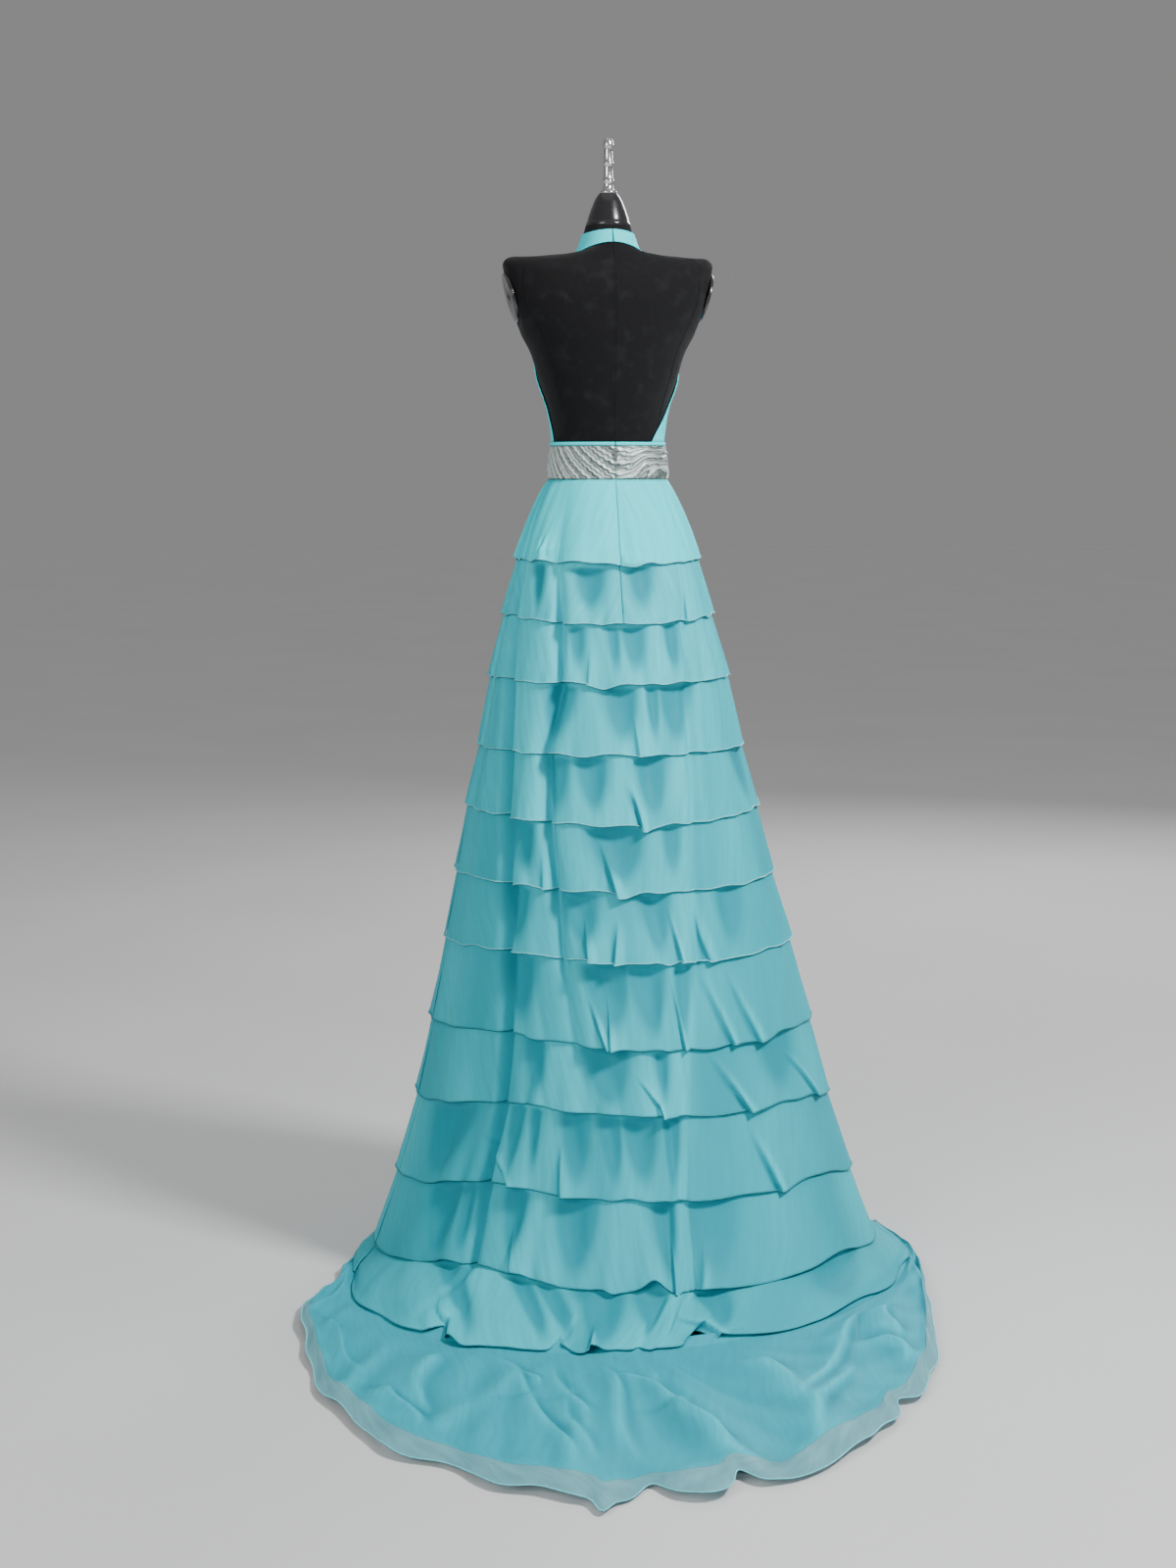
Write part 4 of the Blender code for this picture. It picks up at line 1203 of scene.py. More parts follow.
@dataclass
class Waistband:
    """The pleated silver band in three pieces, and the aqua binding along its top."""

    pleat_count: int = 8
    pleat_raise: float = 0.0034
    rows: int = 100
    half_width: tuple[float, float] = (0.1052, 0.1000)
    back: tuple[float, float] = (0.0848, 0.0820)
    front: tuple[float, float] = (0.0838, 0.0822)
    bulge: float = 0.0016

    def surface(self, angle: Array, height: Array) -> Array:
        """The band's face before its pleats, at a height from 0 at its seam to 1 at its top.

        Args:
            angle: Degrees round the body.
            height: From 0 to 1.

        Returns:
            Points at x = -reach * sin a and y = depth * cos a, both read between the seam's and the top's.
        """
        reach, back, front, z = (
            seam + (top - seam) * height
            for seam, top in (self.half_width, self.back, self.front, (WAIST_SEAM_Z, WAIST_TOP_Z))
        )
        reach = reach + self.bulge * np.sin(np.pi * height)
        turn = np.radians(angle)
        depth = np.where(np.cos(turn) > 0, back, front)
        return np.stack([-reach * np.sin(turn), depth * np.cos(turn), z + 0 * turn], axis=-1)

    def out(self, points: Array, distance: Array | float) -> Array:
        """Points moved level and away from the upright axis: p + distance * (x, y, 0) / |(x, y, 0)|."""
        way = points * (1, 1, 0)
        return points + np.asarray(distance)[..., None] * way / np.linalg.norm(way, axis=-1, keepdims=True)

    def rise(self, angle: Array, height: Array) -> Array:
        """How high the pleats stand, 0 to 1: a saw of the phase, steep at each pleat's lower edge.

        The phase counts pleats up the band. At the left back they fall to the right, more steeply the further
        left; right of the zip they run level, climb in a swoop and run level again; and they wander a little.

        Args:
            angle: Degrees round the body.
            height: From 0 at the band's seam to 1 at its top.

        Returns:
            The rise, shaped as angle.
        """
        left = np.minimum(angle, 0.0)
        slant = (0.0150 * left - 0.00016 * left**2) * (1 - ease(angle, 200, 262))
        swoop = 0.42 * ease(angle, 13, 33) * (1 - ease(angle, 60, 120))
        swoop = swoop * np.sin(np.pi * np.clip(height + 0.12, 0, 1))
        wander = 0.34 * waves(angle + 30 * height, 5, 3, 11) + 0.20 * waves(angle - 55 * height, 8, 14, 34)
        phase = self.pleat_count * (height + slant - swoop) + wander
        part = phase - np.floor(phase)
        saw = np.minimum(part / 0.14, 1) * (1 - 0.80 * np.clip((part - 0.14) / 0.86, 0, 1))
        uneven = 0.66 + 0.34 * np.sin(2.4 * np.floor(phase) + np.radians(angle) * 3.1)
        return saw * uneven

    def build(self, silver: bpy.types.Material, aqua: bpy.types.Material) -> None:
        """Builds the band and its binding.

        Args:
            silver: The band's finish.
            aqua: The binding's finish.
        """
        top = 1 - (BINDING_HEIGHT + SEAM_GAP) / (WAIST_TOP_Z - WAIST_SEAM_Z)
        heights = np.linspace(top, 0, self.rows)
        pieces = {
            "waistband_back_left": (-90, -0.3, 220, (0.145, 0.085)),
            "waistband_back_right": (0.3, 90, 220, (0.145, 0.085)),
            "waistband_front": (90.2, 269.8, 230, (0.290, 0.085)),
        }
        for node, (begins, ends, columns, cut) in pieces.items():
            angle, height = np.meshgrid(np.linspace(begins, ends, columns), heights)
            edge = ease(height, 0.0, 0.05) * (1 - ease(height, top - 0.05, top))
            rise = self.rise(angle, height) * edge
            points = self.out(self.surface(angle, height), self.pleat_raise * rise)
            band = add_sheet(f"{node}_lame", points, BAND_CLOTH * 0.8)
            # The lamé's colour reads "rise" to paint shade under each pleat's edge and light on its crest.
            set_values(band, "rise", rise)
            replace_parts(dress(band, silver), node)
            log.info("built %s", band.name)
        self.build_binding(top, aqua)

    def build_binding(self, top: float, aqua: bpy.types.Material) -> None:
        """The binding: a flat rounded roll, its section a super-ellipse, carried round the band's top.

        Args:
            top: The height at which it begins, as a share of the band.
            aqua: Its finish.
        """
        angle = np.linspace(0.5, 359.5, 240)
        turn = np.linspace(0, 2 * np.pi, BINDING_TURNS, endpoint=False)[::-1]
        middle, half = (1 + top) / 2, (1 - top) / 2 - 0.002
        squared = np.sign(np.cos(turn)) * np.abs(np.cos(turn)) ** 0.6
        around, section = np.meshgrid(angle, squared)
        out = 0.0016 * np.sign(np.sin(turn)) * np.abs(np.sin(turn)) ** 0.6 - 0.0002
        ruck = 0.00025 * waves(around, 3, 30, 70)
        points = self.out(self.surface(around, middle + half * section), out[:, None] + ruck)
        run = arc_lengths(points, 1)
        uv = np.stack([run, np.repeat(np.arange(BINDING_TURNS)[:, None] * 0.0006, len(angle), axis=1)], axis=-1)
        faces = grid_faces(BINDING_TURNS, len(angle), round_rows=True)
        binding = add_piece("waist_binding_roll", points, faces, uv)
        closing = binding.modifiers.new("closed ends", "SOLIDIFY")
        closing.thickness, closing.offset = 0.0005, -1
        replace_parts(dress(binding, aqua), "waist_binding")
        log.info("built %s", binding.name)


# ---------------------------------------------------------------- the skirt


@dataclass
class Skirt:
    """The surface under the tiers; a thread of cloth keeps one cloth angle from the waist to the train."""

    sway: float = 0.090
    step_level: float = 0.10
    undulation: float = 0.0022

    def fold_angle(self, fold: Fold, level: Array) -> Array:
        """Where a fold runs at a level, round the body."""
        return np.interp(level, np.arange(len(fold.path)) + 1, fold.path)

    def body_angle(self, angle: Array, level: Array) -> Array:
        """The body angle of a thread of cloth: threads keep to the deep folds of the back as those drift.

        Between two of the knots it runs evenly from one knot's place to the next one's.

        Args:
            angle: Cloth angles.
            level: Levels of the skirt.

        Returns:
            Body angles.
        """
        places = [-90.0, *(self.fold_angle(fold, level) for fold in FOLDS[:2]), 0.0]
        places += [self.fold_angle(FOLDS[2], level), 90.0, 270.0]
        angle = (angle - GRAIN_KNOTS[0]) % 360 + GRAIN_KNOTS[0]
        turned_to = places[0]
        for at in range(len(places) - 1):
            start, end = GRAIN_KNOTS[at], GRAIN_KNOTS[at + 1]
            turned_to = turned_to + (places[at + 1] - places[at]) * np.clip((angle - start) / (end - start), 0, 1)
        return turned_to

    def apart(self, fold: Fold, body_angle: Array, level: Array) -> Array:
        """Metres round the body from a fold's middle, over its half width.

        Args:
            fold: The fold.
            body_angle: Degrees round the body.
            level: Levels of the skirt.

        Returns:
            Half widths from the middle, positive towards the wearer's right.
        """
        turn = (body_angle - self.fold_angle(fold, level) + 180) % 360 - 180
        radius = np.interp(level, range(len(SKIRT)), [row.half_width for row in SKIRT])
        return np.radians(turn) * radius / fold.half_width

    def fold_share(self, fold: Fold, body_angle: Array, level: Array) -> Array:
        """1 in the bottom of a fold, falling to 0 beside it: exp(-|apart| ** n), steeper for a narrow fold."""
        narrow, power = (0.62, 2.4) if fold.half_width < 0.03 else (1.0, 2.0)
        return np.exp(-(np.abs(self.apart(fold, body_angle, level) / narrow) ** power))

    def ring(self, angle: Array, level: Array) -> Array:
        """One whole level of the skirt: lofted, drawn towards the train, and dented by the folds.

        Args:
            angle: Cloth angles.
            level: Whole levels; the last is the train's edge on the floor.

        Returns:
            Points, with a last axis of three.
        """
        body_angle = self.body_angle(angle, level)
        points = loft(SKIRT, body_angle, np.minimum(level, len(SKIRT) - 1))
        turn = np.radians(body_angle)
        points[..., 0] += self.sway * (level == FLOOR_LEVEL) * np.maximum(np.cos(turn), 0)
        soft = self.undulation * ease(level, 0.5, 3) * (1 - ease(level, 10.5, 12)) * waves(angle, 11, 11, 27)
        points[..., 0] -= soft * np.sin(turn)
        points[..., 1] += soft * np.cos(turn)
        for fold in FOLDS:
            strength = ease(level, fold.begins, fold.full) * (1 - ease(level, fold.fades, fold.ends))
            share = strength * self.fold_share(fold, body_angle, level)
            points[..., 0] += fold.depth * share * np.sin(turn)
            points[..., 1] -= fold.depth * share * np.cos(turn)
            points[..., 2] += fold.rise * share
        angles, *sides = zip(*TRAIN_HEM)
        place = np.interp((angle + 180) % 360 - 180, angles, range(len(angles)))
        hem = [smooth_through(place, values) for values in sides]
        hem = np.stack([*hem, np.full_like(place, CLOTH)], axis=-1)
        return np.where((level == TRAIN_LEVEL)[..., None], hem, points)

    def surface(self, angle: Array, level: Array) -> Array:
        """The skirt under its tiers: threads run straight from each hem to the next, so the tiers nest.

        Args:
            angle: Cloth angles.
            level: Levels of the skirt.

        Returns:
            Points, with a last axis of three.
        """
        low = np.clip(np.floor(level), 0, len(SKIRT) - 1)
        part = (level - low)[..., None]
        return self.ring(angle, low) * (1 - part) + self.ring(angle, low + 1) * part

    def over(self, angle: Array, level: Array, lift: Array) -> Array:
        """Points that stand a distance off the skirt, and never under the floor.

        Args:
            angle: Cloth angles.
            level: Levels of the skirt.
            lift: Metres off it.

        Returns:
            The skirt + lift * its normal, with a last axis of three.
        """
        normal = outward(self.surface, angle, level, self.step_level)
        points = self.surface(angle, level) + lift[..., None] * normal
        points[..., 2] = np.maximum(points[..., 2], FLOOR_CLEAR)
        return points


@dataclass
class Tier:
    """One tier: its sheets run from under the tier above down to their own rolled hems."""

    number: int
    skirt: Skirt
    back_step: float = 0.66
    front_step: float = 1.6
    rows: int = 28
    wedge: float = 0.85
    fullness: float = 0.70
    thickness: float = 0.0010
    roll: float = 0.0015
    roll_rise: float = 0.0002
    side: float = 0.05
    zip_half_angle: float = 0.10
    front_flares: tuple[Flare, ...] = field(init=False)

    def __post_init__(self) -> None:
        """Sets out the flares of the front and the sides, which the tables don't give."""
        dice = np.random.default_rng(40 + self.number)
        centres = np.arange(84, 288, 15) + dice.uniform(-4, 4, 14) + 3 * (self.number % 3)
        widths, heights = dice.uniform(8, 15, 14), dice.uniform(0.005, 0.010, 14)
        heights = heights * np.clip((90 - np.abs(centres - 180)) / 30, 0.15, 1)
        self.front_flares = tuple(Flare(*row) for row in zip(centres, widths, heights) if row[0] < 283)

    @property
    def name(self) -> str:
        """The tier's name."""
        return TIER_NAMES[self.number]

    @property
    def top(self) -> float:
        """The level of its top edge, under the tier above."""
        return self.number - (LAP_SHARE if self.number else 0)

    def free(self, drop: Array) -> Array:
        """0 down to the hem of the tier above and 1 at its own hem."""
        covered = LAP_SHARE / (1 + LAP_SHARE) if self.number else 0.0
        return np.clip((drop - covered) / (1 - covered), 0, 1)

    def upright(self, angle: Array, free: Array, start: float) -> Array:
        """The angle that a point's fold has at free = start: the lowest tier's folds hang straight down.

        Its threads draw sideways towards the train, so a fold crosses them by the sway on its way down.

        Args:
            angle: Cloth angles.
            free: How far down each point is.
            start: Where the angle is read.

        Returns:
            The fold's angles.
        """
        if self.number < LOWEST:
            return angle
        sway = (16 + 6 * ease(-angle, 25, 45)) * (1 - ease(angle, 24, 46)) * (1 - ease(-angle, 62, 84))
        return angle + sway * (start - free)

    def flare_lift(self, angle: Array, free: Array) -> Array:
        """The flares: each height * exp(-|apart / half width| ** 3.2) * free ** 1.7, widening downwards.

        Args:
            angle: Cloth angles.
            free: How far down each point is.

        Returns:
            Metres off the skirt, the highest flare's at each point.
        """
        lift = np.zeros_like(angle)
        for flare in (*FLARES[self.number], *self.front_flares):
            apart = (angle - flare.centre + 180) % 360 - 180
            reach = np.abs(apart) / (flare.width * (0.34 + 0.22 * free))
            lift = np.maximum(lift, flare.height * np.exp(-(reach**3.2)))
        return self.fullness * lift * free**1.7

    def wedge_dip(self, angle: Array, free: Array) -> Array:
        """How far the cloth sinks under each flare of the hem above, in a wedge that narrows downwards.

        Each is depth * exp(-|apart / half width| ** 2.2), the half width shrinking with free, and the depth
        fading towards the tier's own hem.

        Args:
            angle: Cloth angles.
            free: How far down each point is.

        Returns:
            Metres, the deepest at each point.
        """
        dip = np.zeros_like(angle)
        for flare in FLARES[self.number - 1] if self.number else ():
            apart = (angle - flare.centre + 180) % 360 - 180
            width = min(flare.width, 12.0) * (0.60 - 0.34 * free)
            dip = np.maximum(dip, self.wedge * flare.height * np.exp(-((np.abs(apart) / width) ** 2.2)))
        return dip * (1 - ease(free, 0.30, 1.0)) * ease(free, -0.02, 0.08)

    def tone(self, angle: Array, free: Array) -> Array:
        """The colour's share of the paler aqua, 0 deep and 1 pale: partly the lining showing through where the
        chiffon lies close, partly painted light and shade.

        It is paler between the two deep folds of the back, in soft upright panels, and on the upper tiers as
        painted light.
        It is darker on the yoke's left as painted shade, and in the wedges under the hem above as painted shadow.
        A pinched crease has painted shade along its steep side and a painted highlight along the other.

        Args:
            angle: Cloth angles.
            free: How far down each point is.

        Returns:
            From 0 to 1.
        """
        middle = ease(angle, -57, -50) * (1 - ease(angle, 24, 30))
        panels = 0.62 + 0.38 * waves(angle, 90 + self.number, 7, 20)
        pale = 0.40 + 0.27 * middle * panels + 0.13 * waves(angle, 95 + self.number, 5, 14)
        # Painted light: the upper tiers are paler.
        pale += 0.32 * (1 - ease(self.number, 0, 6))
        if self.number == 0:
            # Painted shade: the yoke is darker on its left.
            pale -= 0.28 * (1 - ease(angle, -62, 4)) * (1 + 0.8 * waves(angle - 6 * free, 99, 8, 24))
        radius = SKIRT[self.number + 1].half_width
        for pinch in PINCHES[self.number]:
            apart = np.radians(self.upright(angle, free, 1.0) - self.pinch_line(pinch, free)) * radius
            grown = ease(free, pinch.begins, 0.90) * pinch.height / 0.010
            # Painted shade along the crease's steep side, and a painted highlight beside it.
            pale -= 0.9 * grown * np.exp(-(((apart + 0.0035) / 0.0040) ** 2))
            pale += 0.4 * grown * np.exp(-(((apart - 0.0060) / 0.0070) ** 2))
        # Painted shadow: darker in the wedges under the flares of the hem above.
        return np.clip(pale - self.wedge_dip(self.upright(angle, free, 0.0), free) / 0.008, 0, 1)

    def pinch_line(self, pinch: Pinch, free: Array) -> Array:
        """The cloth angle of a pinched crease, straight from half way up to the hem."""
        return pinch.angle_hem + (pinch.angle_up - pinch.angle_hem) * (1 - free) * 2

    def columns(self, begins: float, ends: float, step: float) -> Array:
        """Cloth angles of a panel's columns, closer together at the folds and the pinched creases.

        The columns are even along the running total of 1 + 1.6 * the bells at the folds and creases.

        Args:
            begins: The panel's first cloth angle.
            ends: Its last.
            step: Degrees between columns.

        Returns:
            The columns' cloth angles.
        """
        fine = np.linspace(begins, ends, 4000)
        density = np.ones_like(fine)
        places = [*GRAIN_KNOTS[1:3], GRAIN_KNOTS[4], *(pinch.angle_hem for pinch in PINCHES[self.number])]
        for place in places:
            density += 1.6 * np.exp(-(((fine - place) / 2.2) ** 2))
        total = np.concatenate([[0], ((density[1:] + density[:-1]) / 2 * np.diff(fine)).cumsum()])
        return np.interp(np.linspace(0, total[-1], max(24, round(total[-1] / step)) + 1), total, fine)

    def pinch_lift(self, angle: Array, level: Array, free: Array) -> Array:
        """The pinched creases: each rises steeply at one side and falls away softly at the other.

        The crease runs straight from half way up to the hem. Beside it, over d metres, the rise is the eased
        step from -2.2 mm to 0.6 mm, times exp(-d / 24 mm), and it grows from 0 where the crease starts.

        Args:
            angle: Cloth angles.
            level: Levels of the skirt.
            free: How far down each point is.

        Returns:
            Metres off the skirt.
        """
        lift = np.zeros_like(angle)
        radius = np.interp(level, range(len(SKIRT)), [row.half_width for row in SKIRT])
        for pinch in PINCHES[self.number]:
            apart = np.radians((angle - self.pinch_line(pinch, free) + 180) % 360 - 180) * radius
            step = ease(apart, -0.0022, 0.0006) * np.exp(-np.maximum(apart, 0) / 0.024)
            lift += 1.25 * pinch.height * step * ease(free, pinch.begins, 0.90)
        return lift

    def lift(self, angle: Array, drop: Array, level: Array) -> Array:
        """How far the tier stands off the skirt: a steady lap, its flares, creases and small wrinkles.

        Args:
            angle: Cloth angles.
            drop: From 0 at the tier's top edge to 1 at its hem.
            level: Levels of the skirt.

        Returns:
            Metres off the skirt: the lap grows evenly, and the deep folds of the back calm the rest.
        """
        free = self.free(drop)
        lap = (CLOTH + LAP_GAP) * (1 + LAP_SHARE) * drop
        body_angle = self.skirt.body_angle(angle, level)
        dip = self.wedge_dip(self.upright(angle, free, 0.0), free)
        angle = self.upright(angle, free, 1.0)
        calm = np.ones_like(angle)
        for fold in FOLDS[:2]:
            calm = calm * (1 - 0.8 * np.exp(-((self.skirt.apart(fold, body_angle, level) / 1.3) ** 2)))
        lift = lap + (self.flare_lift(angle, free) + self.pinch_lift(angle, level, free)) * calm
        soft = 0.0011 * (1 + waves(angle + 1.5 * np.sin(self.number) * drop, 130 + self.number, 16, 36))
        pull = 0.0012 * (1 + waves(angle - 11 * drop, 170 + self.number, 14, 30)) * ease(angle, 22, 34)
        spill = 0.0036 * (1 + waves(angle, 190, 11, 26)) * (1 + 1.2 * np.exp(-(((angle + 58) / 16) ** 2)))
        rest = 1 - 0.85 * ease(free, 0.70, 1.0) if self.number == LOWEST else 1.0
        lift = lift + (soft + pull + spill * (self.number == LOWEST)) * np.sqrt(free) * rest
        bend = 1.0 + 0.6 * np.sin(drop * 5 + self.number)
        small = waves(angle + 2.0 * bend * drop, 60 + self.number, 38, 80)
        lift = lift + 0.0004 * (1 + small) * free - dip * calm
        if self.number == 0:
            lift = lift + 4 * HIP_ROUND * drop * (1 - drop) + self.yoke_lift(angle, drop)
        return lift

    def yoke_lift(self, angle: Array, drop: Array) -> Array:
        """The yoke's soft pulls down from the waist seam, and the puckers near its hem.

        Args:
            angle: Cloth angles.
            drop: From 0 at its top to 1 at its hem.

        Returns:
            Metres: waves for the pulls, and a bell of angle and drop for each pucker.
        """
        shown = ease(drop, 0.0, 0.15) * (1 - ease(drop, 0.35, 1.0))
        pulls = 0.0011 * (1 + waves(angle - 5 * drop, 21, 9, 24)) * shown
        puff = 0.0100 * np.exp(-(np.abs((angle - 3.9) / 3.6) ** 4) - np.abs((drop - 0.945) / 0.062) ** 4)
        dent = 0.0045 * np.exp(-(((angle - 3.0) / 0.9) ** 2) - ((drop - 0.93) / 0.030) ** 2)
        crumple = 0.0034 * np.exp(-(((angle + 36) / 7) ** 2) - ((drop - 0.86) / 0.12) ** 2)
        crumple = crumple * (1 + np.sin(angle * 1.1 + drop * 17) * np.sin(angle * 0.7 - drop * 20))
        return pulls + puff - dent + crumple

    def points(self, begins: float, ends: float, step: float) -> tuple[Array, Array]:
        """The outer face of one panel.

        Args:
            begins: Its first cloth angle.
            ends: Its last cloth angle.
            step: Degrees between columns.

        Returns:
            Rows by columns of points, rows downwards, closer together towards the hem; and each point's tone,
            its painted light and shade.
        """
        columns = self.columns(begins, ends, step)
        drop = 1 - (1 - np.linspace(0, 1, self.rows)) ** 1.2
        levels = self.top + (self.number + 1 - self.top) * drop
        angle, level = np.meshgrid(columns, levels)
        share = (level - self.top) / (self.number + 1 - self.top)
        points = self.skirt.over(angle, level, self.lift(angle, share, level))
        free = self.free(share)
        wander = 0.0024 * waves(angle, 80 + self.number, 9, 30) * free**3
        wander = wander - 0.55 * self.pinch_lift(angle, level, free) * free
        for arch in ARCHES.get(self.number, ()):
            apart = (angle - arch.centre) / arch.width
            wander = wander + arch.rise * np.exp(-(apart**2)) * free**5
        if self.number < LOWEST:
            points[..., 2] += wander
        else:
            way = (self.skirt.ring(angle, np.full_like(angle, TRAIN_LEVEL)) - points) * (1, 1, 0)
            way /= np.linalg.norm(way, axis=-1, keepdims=True)
            out = (0.009 * waves(angle, 201, 9, 26) + hem_turn(angle, HEM_TURNS[self.name])) * free**3
            points += (out * (1 - ease(np.abs(angle), 84, 110)))[..., None] * way
        points[..., 2] = np.maximum(points[..., 2], FLOOR_CLEAR)
        return points, self.tone(angle, free)

    def cut(self, begins: float, ends: float) -> tuple[float, float, float]:
        """The panel's flat pattern before it was hung.

        Its hem and top are as long as the smooth skirt's own rings there, with 6% of fullness, and its
        length is the drop between them.

        Args:
            begins: The panel's first cloth angle.
            ends: Its last.

        Returns:
            Width at the hem, length, and area.
        """
        angle, level = np.meshgrid(np.linspace(begins, ends, 120), (self.top, self.number + 1.0))
        rings = self.skirt.surface(angle, level)
        top, hem = SEWN_FULLNESS * np.linalg.norm(np.diff(rings, axis=1), axis=-1).sum(axis=1)
        length = float(np.linalg.norm(rings[1] - rings[0], axis=-1).mean())
        width = float(max(top, hem))
        return width, length, float((top + hem) / 2 * length)

    def build(self, paint: bpy.types.Material, hem_paint: bpy.types.Material) -> None:
        """Builds the tier's panels and hems in place of their CAD nodes.

        Args:
            paint: The cloth's finish.
            hem_paint: The rolled hem's finish.
        """
        side, gap = self.side, self.zip_half_angle
        halves = {"_back_left": (-90 + side, -gap), "_back_right": (gap, 90 - side)}
        back = halves if self.number < 2 else {"_back": (-90 + side, 90 - side)}
        for suffix, (begins, ends) in {**back, "_front": (90 + side, 270 - side)}.items():
            node = self.name + suffix
            step = self.front_step if suffix == "_front" else self.back_step
            points, tone = self.points(begins, ends, step)
            cloth = dress(add_sheet(f"{node}_cloth", points, self.thickness), paint)
            # The tone paints light and shade into the cloth's colour, partly the lining showing through.
            set_values(cloth, "tone", tone)
            path = points[-1].copy()
            path[:, 2] = np.maximum(path[:, 2] + self.roll_rise, self.roll)
            hem = dress(add_hem(f"{node}_hem", path, self.roll), hem_paint)
            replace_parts(cloth, node)
            width, length, area = self.cut(begins, ends)
            log.info("built %s, cut %.2f by %.2f m", cloth.name, width, length)


# Creases of the train where it lies: (x, y) at both ends, and a height.
TRAIN_CREASES = (
    ((0.290, 0.520), (0.235, 0.785), 0.007), ((0.235, 0.785), (0.228, 1.074), 0.006),
    ((0.239, 0.623), (0.233, 0.768), 0.005), ((0.116, 0.642), (0.117, 1.015), 0.007),
    ((0.185, 0.775), (0.199, 1.033), 0.005), ((-0.154, 0.682), (-0.149, 0.894), 0.005),
    ((-0.365, 0.458), (-0.149, 0.894), 0.008), ((0.100, 0.699), (0.017, 0.852), 0.007),
    ((0.017, 0.852), (0.002, 1.047), 0.007), ((-0.410, 0.465), (-0.369, 0.620), 0.008),
    ((0.542, 0.383), (0.488, 0.641), 0.007), ((0.445, 0.718), (0.427, 0.897), 0.006),
    ((0.218, 0.318), (0.248, 0.565), 0.006), ((0.039, 0.558), (0.053, 0.777), 0.006),
    ((0.374, 0.570), (0.411, 0.809), 0.006), ((-0.258, 0.735), (-0.151, 1.016), 0.006),
    ((-0.361, 0.619), (-0.357, 0.750), 0.007), ((0.189, 0.598), (0.175, 0.927), 0.005),
)


